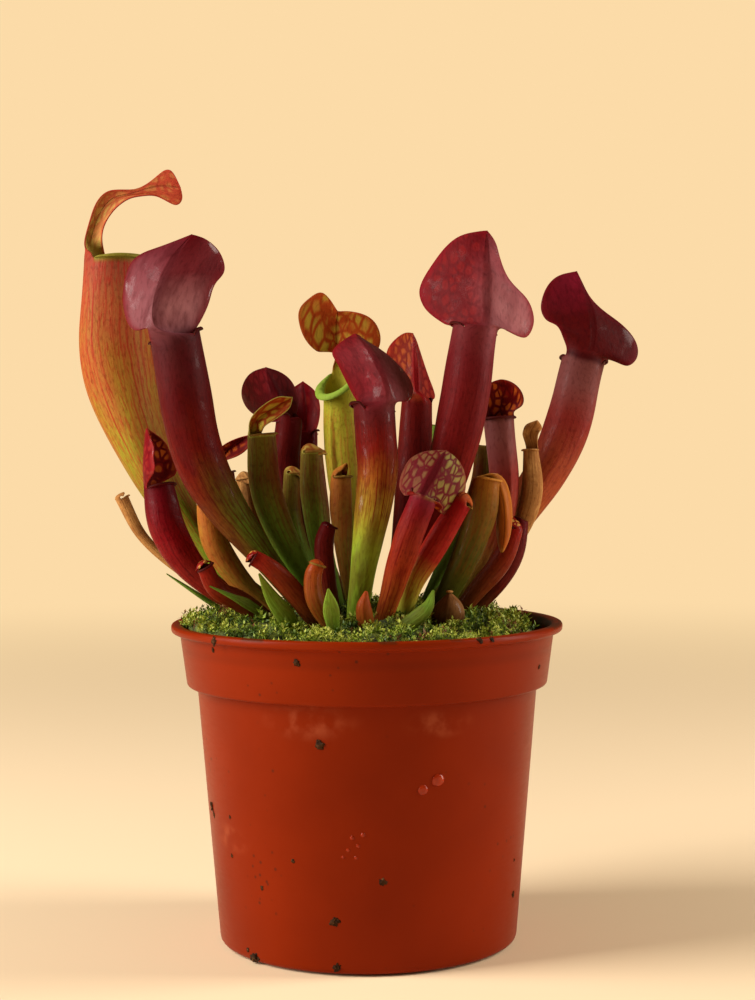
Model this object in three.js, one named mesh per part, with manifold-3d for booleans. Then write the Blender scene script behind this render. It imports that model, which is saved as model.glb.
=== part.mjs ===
// A clump of trumpet pitchers growing through moss in a 9 cm plastic nursery pot.
// Millimetres, +Z up. The origin is the middle of the pot's foot, on the surface it stands on.
// Directions are degrees from +X, turning towards +Y; the clump's front is -Y.

import * as THREE from "three";
import { mergeVertices } from "three/addons/utils/BufferGeometryUtils.js";
import Module from "manifold-3d";

const wasm = await Module();
wasm.setup();

// ---------------------------------------------------------------- driving dimensions

const GAP = 0.3; // clearance between pieces that touch
const CLEAN = 0.02; // how far a corner may move when needless corners go
const LEAF_CLEAN = 0.09; // the same for a leaf, where an eased surface does not show
const POT = {
  rimRadius: 45,
  height: 73,
  wall: 1.2,
  rimHeight: 1.6,
  collarTopRadius: 43,
  collarBottomRadius: 41.4,
  collarBottom: 59,
  bodyTopRadius: 39.1,
  baseRadius: 34.2,
  baseRound: 1.4,
  collarEase: 0.5, // rounding of the collar's lower edge
  rimEase: 0.4, // rounding of the rim's edges
  footHeight: 2,
  footWidth: 2.6,
  floor: 1.5,
  drainRadius: 3.5,
  drainCircle: 21,
  drainHoles: 6,
  segments: 36,
};
const COMPOST_TOP = 67;
const MOSS = {
  edgeTop: 72.4,
  crownTop: 76,
  radius: 41.2,
  bareDirection: THREE.MathUtils.degToRad(8),
  bareWidth: THREE.MathUtils.degToRad(26),
  bareDepth: 4.5,
  scallops: 9,
  scallopDepth: 0.3,
  shoulder: 1.2, // drop of the mat's side below its edge
  edgeRound: 0.985, // share of the reach at which the side turns into the top
  bump: 0.7,
  rings: 4,
  segments: 24,
};
// The mat's mounds: radians per mm along x and y, starting angles, and shares.
const MOUNDS = {
  wide: { x: 0.21, y: 0.26, startX: 0.6, startY: 0.4 },
  narrow: { x: 0.47, y: 0.38, share: 0.5 },
  calmedAtEdge: 0.7,
};

const RHIZOME_LOBES = [
  // middle [x, y, z] and half sizes [x, y, z] of each branch of the creeping stem
  { at: [-13, -8, 66.5], size: [13, 11, 5] },
  { at: [4, -13, 66.5], size: [12, 10, 5] },
  { at: [16, -3, 66.5], size: [12, 11, 5] },
  { at: [-1, 5, 66.5], size: [15, 9, 5] },
];
const SOCKET_OVER = 2; // how far above the moss a socket is cut
const SOCKET_EASE = 0.45; // extra room in a socket for the bend of the foot
const SOCKET_SIDES = 6;
const SOCKET_STEP = 0.02; // share of the leaf tried at a time for the socket's top
const LEAF_WALL = 1;
const HOOD_THICKNESS = 0.9;
const HOOD_ROOT_THICKNESS = 0.3; // inside the tube's wall, which it grows from
const KEEL_HALF_ANGLE = THREE.MathUtils.degToRad(14); // half of the tube that the keel stands on
const KEEL_FULLNESS = 0.7; // below 1, the keel stays high for longer
const KEEL_END = 1.02; // the keel runs out just before the mouth
const CAVITY_STEPS = 4;
const CAVITY_OVER = 1; // how far past the mouth the hollow is cut
const BACK_ARC = THREE.MathUtils.degToRad(62); // half of the mouth that carries on into the hood
const HOOD = {
  root: 1.2, // how deep in the tube's wall the hood begins
  rootInset: 0.62, // how far in from the tube's corners, as a share of its wall
  fine: 6, // steps taken along the midrib for each row of points
  leanBy: 0.35, // share of the blade over which its lean comes in
  waist: 0.75, // the neck's half width as a share of the mouth's radius
  widestAt: 0.4, // share of the blade
  tip: 0.985, // share of the blade at which it ends bluntly
  fullness: 0.9,
  settle: 1.5, // neck lengths over which the mouth's arc opens into the blade's own fold
  settleLeast: 0.15,
  lobePower: 1.6,
  lobeFade: 0.6,
  starts: 0.12, // share over which a lobe and the full thickness come in
};

// ---------------------------------------------------------------- colours

const COLOURS = {
  terracotta: { color: 0xb5421a, roughness: 0.45 },
  compost: { color: 0x2a1b12, roughness: 0.95 },
  moss: { color: 0x7d8f2a, roughness: 0.95 },
  rhizome: { color: 0x5a3a22, roughness: 0.8 },
  maroon: { color: 0x5a1620, roughness: 0.35 },
  red: { color: 0x8c2418, roughness: 0.4 },
  striped: { color: 0xa8662c, roughness: 0.45 },
  green: { color: 0x7f9a2e, roughness: 0.45 },
  dried: { color: 0xb07a3c, roughness: 0.85 },
};

// ---------------------------------------------------------------- the leaves
// spine: points from foot to mouth, each [x, y, z, radius]. facing: where the mouth looks.
// keel: height of the blade down the front. hollow: depth of the pitcher, where its mouth is open.
// flat: thickness of a leaflet as a share of its width.
// hood: neck and length along the midrib, half its width; rise and lean towards the facing,
// curl to the tip, fold at the midrib, roll of each half, lobe hanging beside the neck,
// turn and sway to one side, waist of the neck as a share of the mouth.

const LARGE = { sides: 12, rings: 8, hoodRows: 6, hoodColumns: 3 };
const MEDIUM = { sides: 9, rings: 6, hoodRows: 5, hoodColumns: 2 };
const SMALL = { sides: 7, rings: 5, hoodRows: 4, hoodColumns: 2 };
const TINY = { sides: 6, rings: 4 };

const LEAVES = [
  {
    name: "front_left_pitcher", colour: "maroon", detail: LARGE, facing: 84, keel: 1.2, hollow: 16,
    spine: [[-8, -11, 70, 1.6], [-22.5, -15, 88.5, 3.4], [-36, -18.5, 109, 6.2], [-41.5, -20, 137, 5.4]],
    hood: { neck: 3, length: 23, half: 12.5, rise: 8, lean: 12, curl: 20, fold: 18, roll: 22, lobe: 0.25,
      turn: 12, sway: -38 },
  },
  {
    name: "centre_pitcher", colour: "maroon", detail: LARGE, facing: 125, keel: 1.8, hollow: 12,
    spine: [[-3, -15, 70, 2], [-0.5, -17, 88, 3.6], [2.5, -17, 106, 5.2], [2, -16, 121, 4.6]],
    hood: { neck: 8, length: 16, half: 11.5, rise: 5, lean: 52, curl: 20, fold: 36, roll: 25, lobe: 0.4,
      turn: -15, sway: 0 },
  },
  {
    name: "right_tall_pitcher", colour: "maroon", detail: LARGE, facing: 120, keel: 1.2, hollow: 16,
    spine: [[5, -8, 70, 1.8], [14, -11, 96, 4.2], [21, -13, 118, 5.4], [24.5, -12, 139, 5]],
    hood: { neck: 4, length: 22, half: 15, rise: 10, lean: 14, curl: 22, fold: 20, roll: 25, lobe: 0.32,
      turn: -10, sway: 0 },
  },
  {
    name: "far_right_pitcher", colour: "maroon", detail: LARGE, facing: 84, keel: 1.2, hollow: 14,
    spine: [[9, 2, 70, 1.6], [30, 10, 90, 3.6], [46, 19, 112, 5.4], [52.5, 24, 133, 5.2]],
    hood: { neck: 6, length: 16, half: 12, rise: 8, lean: 36, curl: 15, fold: -8, roll: -6, lobe: 0.1,
      turn: 10, sway: -16 },
  },
  {
    name: "back_left_tall_pitcher", colour: "striped", detail: LARGE, facing: -8, keel: 1.2, hollow: 18,
    spine: [[-10, 2, 70, 1.6], [-33, 9, 83, 2.6], [-50, 15, 106, 5.4], [-59.5, 20, 132, 8.6],
      [-60.5, 22, 158, 7.2]],
    hood: { neck: 22, length: 13, half: 5.5, rise: 80, lean: 72, curl: -15, fold: -10, roll: 20, lobe: 0,
      turn: 0, sway: 0, waist: 0.5 },
  },
  {
    name: "back_centre_pitcher", colour: "green", detail: LARGE, facing: -125, keel: 1.2, hollow: 14,
    spine: [[-1, 7, 70, 1.8], [-3.5, 15, 92, 3.4], [-5.5, 21, 112, 4.6], [-6.5, 22, 129, 4]],
    hood: { neck: 7, length: 13, half: 10, rise: 5, lean: 10, curl: 15, fold: -20, roll: 20, lobe: 0.2,
      turn: 30, sway: 4 },
  },
  {
    name: "back_right_pitcher", colour: "maroon", detail: MEDIUM, facing: 120, keel: 0.8, hollow: 8,
    spine: [[4, 2, 70, 1.5], [8.5, 6, 90, 2.8], [11, 9, 108, 4], [12, 10, 123, 3.6]],
    hood: { neck: 2, length: 16, half: 9, rise: 8, lean: 12, curl: 15, fold: 40, roll: 20, lobe: 0.2,
      turn: 0, sway: -8 },
  },
  {
    name: "spotted_pitcher", colour: "red", detail: MEDIUM, facing: 80, keel: 0.8, hollow: 7,
    spine: [[2, -20, 70, 1.5], [6, -24, 83, 2.6], [9, -26, 93, 3.2], [12.5, -26, 102, 3]],
    hood: { neck: 1.5, length: 13, half: 9.5, rise: 10, lean: 22, curl: 30, fold: 20, roll: 40, lobe: 0.35,
      turn: -5, sway: -4 },
  },
  {
    name: "red_green_pitcher", colour: "red", detail: SMALL, facing: 60, keel: 0.8,
    spine: [[7, -15, 70, 1.4], [10, -19, 82, 2.2], [15, -20, 91, 2.8], [21, -20, 101, 2.4]],
    hood: { neck: 2, length: 6, half: 3, rise: 40, lean: 80, curl: 40, fold: 20, roll: 40, lobe: 0.1,
      turn: 0, sway: 0 },
  },
  {
    name: "right_middle_pitcher", colour: "maroon", detail: MEDIUM, facing: -70, keel: 0.8, hollow: 8,
    spine: [[15, -1, 70, 1.5], [26, 2, 84, 2.6], [32, 5, 100, 3.4], [31, 6, 118.5, 3.6]],
    hood: { neck: 2, length: 10, half: 8, rise: 5, lean: 15, curl: 10, fold: 10, roll: 40, lobe: 0.1,
      turn: 0, sway: 0 },
  },
  {
    name: "green_left_pitcher", colour: "green", detail: MEDIUM, facing: -30, keel: 0.8, hollow: 7,
    spine: [[-8, -5, 70, 1.6], [-17, -8, 89, 3], [-22.5, -9, 103, 3.6], [-23.5, -9, 116, 3.2]],
    hood: { neck: 3, length: 9, half: 2.4, rise: 30, lean: 55, curl: 10, fold: 30, roll: 30, lobe: 0,
      turn: 0, sway: 20 },
  },
  {
    name: "dark_back_left_pitcher", colour: "maroon", detail: MEDIUM, facing: 165, keel: 0.8, hollow: 8,
    spine: [[-6, 8, 70, 1.4], [-16, 14, 90, 2.6], [-19.5, 20, 106, 3.4], [-18.5, 20, 119, 3.2]],
    hood: { neck: 2, length: 15, half: 10, rise: 20, lean: 45, curl: 20, fold: 40, roll: 25, lobe: 0.2,
      turn: 0, sway: 0 },
  },
  {
    name: "red_back_pitcher", colour: "red", detail: MEDIUM, facing: 60, keel: 0.8, hollow: 6,
    spine: [[-3, 10, 70, 1.4], [-12, 22, 90, 2.4], [-15, 28, 104, 3.2], [-15, 28, 115, 3]],
    hood: { neck: 2, length: 13, half: 8, rise: 10, lean: 25, curl: 20, fold: 20, roll: 40, lobe: 0.2,
      turn: 20, sway: 0 },
  },
  {
    name: "low_left_pitcher", colour: "red", detail: MEDIUM, facing: -20, keel: 0.8, hollow: 8,
    spine: [[-17, -5, 70, 1.5], [-37, -5, 83, 3], [-45, -4, 93.5, 4.2], [-47.5, -2, 104, 3.6]],
    hood: { neck: 2, length: 13, half: 7, rise: 5, lean: 10, curl: 15, fold: 20, roll: 50, lobe: 0.1,
      turn: 0, sway: 0 },
  },
  {
    name: "small_red_left_pitcher", colour: "red", detail: SMALL, facing: -50, keel: 0.6,
    spine: [[-11, 0, 70, 1.2], [-22, 6, 86, 2], [-31, 9, 97, 2.4], [-33, 9, 107, 2]],
    hood: { neck: 1.5, length: 8, half: 3.5, rise: 10, lean: 20, curl: 20, fold: 20, roll: 30, lobe: 0,
      turn: 0, sway: 50 },
  },
  {
    name: "brown_arched_pitcher", colour: "dried", detail: SMALL, facing: -60, keel: 0.6,
    spine: [[-11, -3, 70, 1.2], [-20, -2, 84, 1.8], [-27, 0, 96, 2.4], [-28, 0, 106, 2]],
    hood: { neck: 2, length: 6, half: 2.2, rise: 60, lean: 110, curl: 40, fold: 20, roll: 40, lobe: 0,
      turn: 0, sway: 0 },
  },
  {
    name: "green_arched_pitcher", colour: "green", detail: SMALL, facing: 0, keel: 0.6,
    spine: [[-6, 1, 70, 1.2], [-14, 4, 86, 1.6], [-17.5, 6, 97, 2], [-17.5, 6, 107, 1.8]],
    hood: { neck: 2, length: 6, half: 2, rise: 60, lean: 110, curl: 40, fold: 20, roll: 40, lobe: 0,
      turn: 0, sway: 0 },
  },
  {
    name: "brown_middle_pitcher", colour: "striped", detail: SMALL, facing: -20, keel: 0.8,
    spine: [[-5, -2, 70, 1.4], [-10, -2, 88, 2.4], [-12, -1, 101, 3], [-12.5, -1, 112, 2.6]],
    hood: { neck: 2, length: 7, half: 2.6, rise: 50, lean: 100, curl: 40, fold: 20, roll: 40, lobe: 0,
      turn: 0, sway: 0 },
  },
  {
    name: "orange_middle_pitcher", colour: "dried", detail: SMALL, facing: -30, keel: 0.6,
    spine: [[-2, 1, 70, 1.2], [-5, 5, 86, 1.8], [-6, 8, 97, 2.6], [-6, 8, 106, 2.4]],
    hood: { neck: 1, length: 5, half: 2.4, rise: 20, lean: 50, curl: 30, fold: 20, roll: 40, lobe: 0,
      turn: 0, sway: 0 },
  },
  {
    name: "olive_arched_pitcher", colour: "striped", detail: SMALL, facing: -20, keel: 0.8,
    spine: [[13, -8, 70, 1.4], [20, -10, 84, 2.6], [25, -11, 96, 3.6], [27, -11, 106, 3.2]],
    hood: { neck: 5, length: 9, half: 3, rise: 100, lean: 170, curl: 10, fold: 30, roll: 30, lobe: 0,
      turn: 0, sway: 0 },
  },
  {
    name: "tan_dried_pitcher", colour: "dried", detail: SMALL, facing: -120, keel: 0.5,
    spine: [[19, 4, 70, 1.2], [33, 5.5, 88, 1.6], [38.5, 6, 101, 2.6], [38.5, 7, 112, 1.8]],
    hood: { neck: 2, length: 6, half: 2.5, rise: 10, lean: 60, curl: 90, fold: 10, roll: 50, lobe: 0,
      turn: 0, sway: 0 },
  },
  {
    name: "low_right_pitcher", colour: "red", detail: SMALL, facing: 150, keel: 0.6,
    spine: [[17, -4, 70, 1.4], [25, -4, 80, 2.2], [31, -3, 87, 2.6], [34, -2, 94, 2]],
    hood: { neck: 1, length: 5, half: 2, rise: 30, lean: 60, curl: 20, fold: 20, roll: 30, lobe: 0,
      turn: 0, sway: 0 },
  },
  {
    name: "far_left_dried_pitcher", colour: "dried", detail: SMALL, facing: 30, keel: 0.3,
    spine: [[-19, 2, 70, 1], [-38, 8, 80, 1], [-52, 10, 91, 1.2], [-57.5, 10, 101, 1.6]],
    hood: { neck: 1, length: 3, half: 2, rise: 20, lean: 80, curl: 20, fold: 10, roll: 20, lobe: 0,
      turn: 0, sway: 0 },
  },
  {
    name: "amber_left_pitcher", colour: "striped", detail: SMALL, facing: 20, keel: 0.6,
    spine: [[-13, -7.5, 70, 1.4], [-26, -8, 80, 2.2], [-34, -9, 91, 3], [-36, -9, 101, 2.4]],
  },
  {
    name: "left_bud", colour: "red", detail: SMALL, facing: -60, keel: 0.4,
    spine: [[-17, -11, 70, 1.6], [-27, -16, 78.5, 2.4], [-33, -19, 82, 2.2], [-35.5, -20, 87, 1.8]],
    hood: { neck: 1, length: 3.5, half: 2, rise: 20, lean: 60, curl: 60, fold: 10, roll: 50, lobe: 0,
      turn: 0, sway: 0 },
  },
  {
    name: "front_red_bud", colour: "red", detail: SMALL, facing: 200, keel: 0.4,
    spine: [[-8, -20, 70, 1.4], [-14, -25, 80, 2.2], [-20, -28, 87, 2], [-24, -28, 89.5, 1.8]],
    hood: { neck: 1, length: 4, half: 2, rise: 30, lean: 60, curl: 60, fold: 10, roll: 50, lobe: 0,
      turn: 0, sway: 0 },
  },
  {
    name: "rust_bud", colour: "striped", detail: SMALL, facing: -70, keel: 0.4,
    spine: [[-4, -25, 70, 1.4], [-10.5, -28, 79, 2], [-11.5, -28, 85, 2], [-10.5, -28, 88, 1.6]],
    hood: { neck: 0.8, length: 3.5, half: 1.8, rise: 30, lean: 80, curl: 50, fold: 10, roll: 50, lobe: 0,
      turn: 0, sway: 0 },
  },
  {
    name: "dark_bud", colour: "maroon", detail: SMALL, facing: 20, keel: 0.4,
    spine: [[-6, -13, 70, 1.2], [-8.5, -15, 82, 1.8], [-9.5, -15, 91, 2.2], [-8.5, -15, 95.5, 1.8]],
    hood: { neck: 0.8, length: 3.5, half: 1.8, rise: 30, lean: 80, curl: 50, fold: 10, roll: 50, lobe: 0,
      turn: 0, sway: 0 },
  },
  {
    name: "olive_back_pitcher", colour: "green", detail: SMALL, facing: 100, keel: 0.6,
    spine: [[11, 9, 70, 1.3], [20, 15, 88, 2], [27, 18, 103, 2.4], [28, 19, 113, 2]],
  },
  {
    name: "green_back_pitcher", colour: "green", detail: SMALL, facing: 90, keel: 0.6,
    spine: [[6, 8, 70, 1.3], [13, 16, 92, 2], [16.5, 20, 108, 2.4], [17, 21, 118, 1.8]],
  },
  {
    name: "low_right_back_pitcher", colour: "maroon", detail: SMALL, facing: 160, keel: 0.6,
    spine: [[19, 1, 70, 1.3], [29, 2, 80, 2.2], [34, 3, 88, 2.6], [36, 4, 96, 1.8]],
  },
  {
    name: "amber_bud", colour: "striped", detail: TINY, facing: -90, keel: 0.3,
    spine: [[1, -24, 70, 1.4], [0, -28, 75, 1.9], [-0.5, -29.5, 79, 1.7], [0, -30, 82, 0.5]],
  },
  {
    name: "brown_cup", colour: "dried", detail: SMALL, facing: -100, keel: 0.3,
    spine: [[17, -13.5, 70, 2.4], [18, -16, 74.5, 3], [18.5, -17, 78, 3.4], [18.5, -17, 81, 2.6]],
  },
  {
    name: "right_leaflet", colour: "green", detail: TINY, facing: 60, flat: 0.45, keel: 0,
    spine: [[3, -25, 70, 1], [9, -28, 75, 1.8], [13, -29, 78.5, 1.6], [14.5, -27, 82, 0.4]],
  },
  {
    name: "front_leaflet", colour: "green", detail: TINY, facing: -85, flat: 0.3, keel: 0,
    spine: [[-6, -31, 70.5, 0.7], [-7, -32, 75, 1.4], [-7.5, -32.5, 79, 1.8], [-8, -33, 83, 0.3]],
  },
  {
    name: "left_leaflet", colour: "green", detail: TINY, facing: -70, flat: 0.3, keel: 0,
    spine: [[-14, -24, 70, 1.2], [-17, -26, 76, 2.2], [-20.5, -27, 81, 1.6], [-23, -28, 86, 0.3]],
  },
  {
    name: "left_phyllode", colour: "green", detail: TINY, facing: 0, flat: 0.4, keel: 0,
    spine: [[-16, -15, 70, 1.2], [-24, -20, 77.5, 1.6], [-28, -22, 80, 1.4], [-34, -23, 83, 0.3]],
  },
  {
    name: "far_left_spike", colour: "green", detail: TINY, facing: 0, flat: 0.5, keel: 0,
    spine: [[-24, -1, 70, 1], [-34, 0, 76, 1.3], [-40, 0, 80, 1], [-46, 0, 84, 0.3]],
  },
];

// ---------------------------------------------------------------- solids

const group = new THREE.Group();

function solidFrom(geometry) {
  const bare = geometry.clone();
  bare.deleteAttribute("normal");
  bare.deleteAttribute("uv");
  const merged = mergeVertices(bare, 1e-4);
  return new wasm.Manifold(new wasm.Mesh({
    numProp: 3,
    vertProperties: Float32Array.from(merged.attributes.position.array),
    triVerts: Uint32Array.from(merged.index.array),
  }));
}

function addPiece(name, solid, colour) {
  const mesh = solid.getMesh();
  const geometry = new THREE.BufferGeometry();
  geometry.setAttribute("position", new THREE.BufferAttribute(Float32Array.from(mesh.vertProperties), 3));
  geometry.setIndex(Array.from(mesh.triVerts));
  const finish = new THREE.MeshStandardMaterial({ ...COLOURS[colour], metalness: 0 });
  const piece = new THREE.Mesh(geometry, finish);
  piece.name = name;
  group.add(piece);
}

// A closed skin over a row of rings that all have the same number of points. Each end is closed
// by a strip between the two halves of its ring, so a ring may be a thin bent one.
function loft(rings) {
  const around = rings[0].length;
  const top = (rings.length - 1) * around;
  const index = [];
  for (let i = 0; i < around; i++) {
    const j = (i + 1) % around;
    for (let r = 0; r < rings.length - 1; r++) {
      const [a, b, c, d] = [r * around + i, r * around + j, (r + 1) * around + j, (r + 1) * around + i];
      index.push(a, b, c, a, c, d);
    }
  }
  for (let i = 0; i + 1 <= around - 2 - i; i++) {
    const [a, b, c, d] = [i, i + 1, around - 2 - i, around - 1 - i];
    index.push(a, d, c, top + a, top + c, top + d);
    if (b < c) {
      index.push(a, c, b, top + a, top + b, top + c);
    }
  }
  const geometry = new THREE.BufferGeometry().setFromPoints(rings.flat());
  geometry.setIndex(index);
  return solidFrom(geometry);
}

function direction(degrees) {
  const angle = THREE.MathUtils.degToRad(degrees);
  return new THREE.Vector3(Math.cos(angle), Math.sin(angle), 0);
}

function curveThrough(points) {
  return new THREE.CatmullRomCurve3(points, false, "catmullrom", 0.5);
}

function evenAngles(count) {
  return Array.from({ length: count }, (_, i) => (2 * Math.PI * i) / count);
}

// Where the leaf is at t, from 0 at the foot to 1 at the mouth: its middle and its own three directions.
function stationOf(leaf, t) {
  const spine = curveThrough(leaf.spine.map(([x, y, z]) => new THREE.Vector3(x, y, z)));
  const girth = curveThrough(leaf.spine.map((p) => new THREE.Vector3(p[3], 0, 0)));
  const along = spine.getTangent(t).normalize();
  const front = direction(leaf.facing);
  front.addScaledVector(along, -front.dot(along)).normalize();
  const side = new THREE.Vector3().crossVectors(along, front);
  return { middle: spine.getPoint(t), along, front, side, radius: girth.getPoint(t).x };
}

function tubeRing(station, radius, angles, keel, flat = 1) {
  return angles.map((angle) => {
    const reach = radius + (angle === 0 ? keel : 0);
    return station.middle.clone()
      .addScaledVector(station.front, reach * Math.cos(angle) * flat)
      .addScaledVector(station.side, reach * Math.sin(angle));
  });
}

// The keel's own corner, then the others spread evenly from one side of the keel to the other.
function ringAngles(sides) {
  const angles = [0];
  const rest = sides - 1;
  for (let i = 0; i < rest; i++) {
    angles.push(THREE.MathUtils.lerp(KEEL_HALF_ANGLE, 2 * Math.PI - KEEL_HALF_ANGLE, i / (rest - 1)));
  }
  return angles;
}

function tubeSolid(leaf, grown) {
  const angles = ringAngles(leaf.detail.sides);
  const rings = [];
  for (let i = 0; i <= leaf.detail.rings; i++) {
    const t = i / leaf.detail.rings;
    const station = stationOf(leaf, t);
    const keel = leaf.keel * Math.sin(Math.PI * Math.min(1, t * KEEL_END)) ** KEEL_FULLNESS;
    rings.push(tubeRing(station, station.radius + grown, angles, keel, leaf.flat));
  }
  return loft(rings);
}

function cavitySolid(leaf) {
  const length = curveThrough(leaf.spine.map(([x, y, z]) => new THREE.Vector3(x, y, z))).getLength();
  const angles = evenAngles(leaf.detail.sides - 2);
  const rings = [];
  for (let i = 0; i <= CAVITY_STEPS; i++) {
    const t = 1 - (leaf.hollow / length) * (1 - i / CAVITY_STEPS);
    const station = stationOf(leaf, t);
    rings.push(tubeRing(station, station.radius - LEAF_WALL, angles, 0));
  }
  const mouth = stationOf(leaf, 1);
  mouth.middle.addScaledVector(mouth.along, CAVITY_OVER);
  rings.push(tubeRing(mouth, mouth.radius - LEAF_WALL, angles, 0));
  return loft(rings);
}

// A hood is a curved plate: rows of points across the midrib, on the outside and the inside.
function hoodSolid(leaf, grown) {
  const hood = leaf.hood;
  const rows = leaf.detail.hoodRows;
  const halfColumns = leaf.detail.hoodColumns;
  const { degToRad: rad, smoothstep, lerp } = THREE.MathUtils;
  const mouth = stationOf(leaf, 1);
  const total = hood.neck + hood.length;
  const neckEnd = hood.neck / total;
  const arcRadius = mouth.radius - HOOD.rootInset * LEAF_WALL;
  const waist = (hood.waist ?? HOOD.waist) * mouth.radius;
  const skew = Math.log(0.5) / Math.log(HOOD.widestAt);
  const middle = mouth.middle.clone()
    .addScaledVector(mouth.front, -arcRadius)
    .addScaledVector(mouth.along, -HOOD.root);
  const rings = [];
  for (let step = -1; step <= rows * HOOD.fine; step++) {
    const s = Math.max(0, step / (rows * HOOD.fine));
    const onBlade = Math.max(0, (s - neckEnd) / (1 - neckEnd));
    const onNeck = smoothstep(s, 0, neckEnd);
    const lean = rad(hood.rise) * onNeck
      + rad(hood.lean - hood.rise) * smoothstep(onBlade, 0, HOOD.leanBy)
      + rad(hood.curl) * onBlade;
    const turn = rad(hood.turn) * onNeck;
    const front = mouth.front.clone().applyAxisAngle(mouth.along, turn);
    const side = mouth.side.clone().applyAxisAngle(mouth.along, turn);
    const sway = rad(hood.sway) * smoothstep(s * 2, 0, 1);
    const up = mouth.along.clone().multiplyScalar(Math.cos(sway)).addScaledVector(side, Math.sin(sway));
    const across = side.clone().multiplyScalar(Math.cos(sway)).addScaledVector(mouth.along, -Math.sin(sway));
    const along = up.clone().multiplyScalar(Math.cos(lean)).addScaledVector(front, Math.sin(lean));
    const outward = front.clone().multiplyScalar(-Math.cos(lean)).addScaledVector(up, Math.sin(lean));
    if (step < 0 || step % HOOD.fine === 0) {
      const chord = 2 * Math.min(onBlade, HOOD.tip) ** skew - 1;
      const half = s <= neckEnd
        ? lerp(arcRadius * BACK_ARC, waist, onNeck)
        : waist * (1 - onBlade) + hood.half * Math.sqrt(1 - chord ** 2) ** HOOD.fullness;
      const settled = smoothstep(s, 0, Math.max(neckEnd * HOOD.settle, HOOD.settleLeast));
      const fold = rad(hood.fold) * settled;
      const roll = lerp(BACK_ARC, rad(hood.roll), settled);
      const lobeHere = hood.lobe * hood.half * smoothstep(onBlade, 0, HOOD.starts)
        * (1 - onBlade) ** HOOD.lobeFade;
      const thick = lerp(HOOD_ROOT_THICKNESS, HOOD_THICKNESS, smoothstep(s, 0, HOOD.starts)) / 2 + grown;
      const outer = [];
      const inner = [];
      for (let column = -halfColumns; column <= halfColumns; column++) {
        const u = column / halfColumns;
        const reach = half + grown * Math.abs(u);
        const slope = fold + roll * Math.abs(u);
        const sideways = ((Math.sin(slope) - Math.sin(fold)) / roll) * reach * Math.sign(u);
        const down = ((Math.cos(fold) - Math.cos(slope)) / roll) * reach;
        const point = middle.clone()
          .addScaledVector(across, sideways)
          .addScaledVector(outward, -down)
          .addScaledVector(along, -lobeHere * Math.abs(u) ** HOOD.lobePower);
        const tilt = column === 0 ? 0 : Math.sign(u) * slope;
        const normal = outward.clone().multiplyScalar(Math.cos(tilt)).addScaledVector(across, Math.sin(tilt));
        outer.unshift(point.clone().addScaledVector(normal, thick));
        inner.push(point.clone().addScaledVector(normal, -thick));
      }
      rings.push([...outer, ...inner]);
    }
    middle.addScaledVector(along, step < 0 ? HOOD.root : total / (rows * HOOD.fine));
  }
  return loft(rings);
}

function leafSolid(leaf, grown) {
  let solid = tubeSolid(leaf, grown);
  if (leaf.hollow && grown === 0) {
    solid = solid.subtract(cavitySolid(leaf));
  }
  if (leaf.hood) {
    solid = solid.add(hoodSolid(leaf, grown));
  }
  return solid.simplify(LEAF_CLEAN);
}

function boxesMeet(a, b) {
  const [p, q] = [a.boundingBox(), b.boundingBox()];
  return [0, 1, 2].every((axis) => p.min[axis] < q.max[axis] && q.min[axis] < p.max[axis]);
}

function largestPartOf(solid) {
  return solid.decompose().reduce((best, part) => (part.volume() > best.volume() ? part : best));
}

// Leaf bases clasp one another in the crown, so each leaf makes room for those already there.
const standing = [];
for (const leaf of LEAVES) {
  let solid = leafSolid(leaf, 0);
  for (const other of standing) {
    if (boxesMeet(solid, other)) {
      solid = solid.subtract(other);
    }
  }
  addPiece(leaf.name, largestPartOf(solid.simplify(CLEAN)), leaf.colour);
  standing.push(leafSolid(leaf, GAP));
}

// ---------------------------------------------------------------- pot

function turned(profile, segments) {
  const points = [...profile, profile[0]].map(([radius, z]) => new THREE.Vector2(radius, z));
  return solidFrom(new THREE.LatheGeometry(points, segments).rotateX(Math.PI / 2));
}

function potSolid() {
  const { wall, height, collarBottom, collarEase, rimEase } = POT;
  const floorTop = POT.footHeight + POT.floor;
  const rimUnder = height - POT.rimHeight;
  const shell = turned([
    [POT.baseRadius - POT.baseRound, 0],
    [POT.baseRadius, POT.baseRound],
    [POT.bodyTopRadius, collarBottom - collarEase],
    [POT.collarBottomRadius - collarEase, collarBottom],
    [POT.collarBottomRadius, collarBottom + collarEase],
    [POT.collarTopRadius, rimUnder - 2 * rimEase],
    [POT.rimRadius, rimUnder + rimEase],
    [POT.rimRadius, height - rimEase],
    [POT.rimRadius - rimEase, height],
    [POT.collarTopRadius - rimEase, height],
    [POT.collarTopRadius - wall, height - wall],
    [POT.collarBottomRadius - wall, collarBottom + wall],
    [POT.bodyTopRadius - wall, collarBottom - wall],
    [POT.baseRadius - wall, floorTop],
    [0, floorTop],
    [0, POT.footHeight],
    [POT.baseRadius - POT.footWidth, POT.footHeight],
    [POT.baseRadius - POT.footWidth, 0],
  ], POT.segments);
  return evenAngles(POT.drainHoles).reduce((pot, angle) => {
    const drill = new THREE.CylinderGeometry(POT.drainRadius, POT.drainRadius, 3 * floorTop, 12);
    const [x, y] = [POT.drainCircle * Math.cos(angle), POT.drainCircle * Math.sin(angle)];
    return pot.subtract(solidFrom(drill.rotateX(Math.PI / 2).translate(x, y, 0)));
  }, shell);
}

// ---------------------------------------------------------------- compost, creeping stem and moss

function rhizomeSolid(grown) {
  return RHIZOME_LOBES.map(({ at, size }) => {
    const lobe = new THREE.SphereGeometry(1, 10, 5);
    lobe.rotateX(Math.PI / 2);
    lobe.scale(...size.map((half) => half + grown));
    return solidFrom(lobe.translate(...at));
  }).reduce((all, lobe) => all.add(lobe));
}

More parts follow.
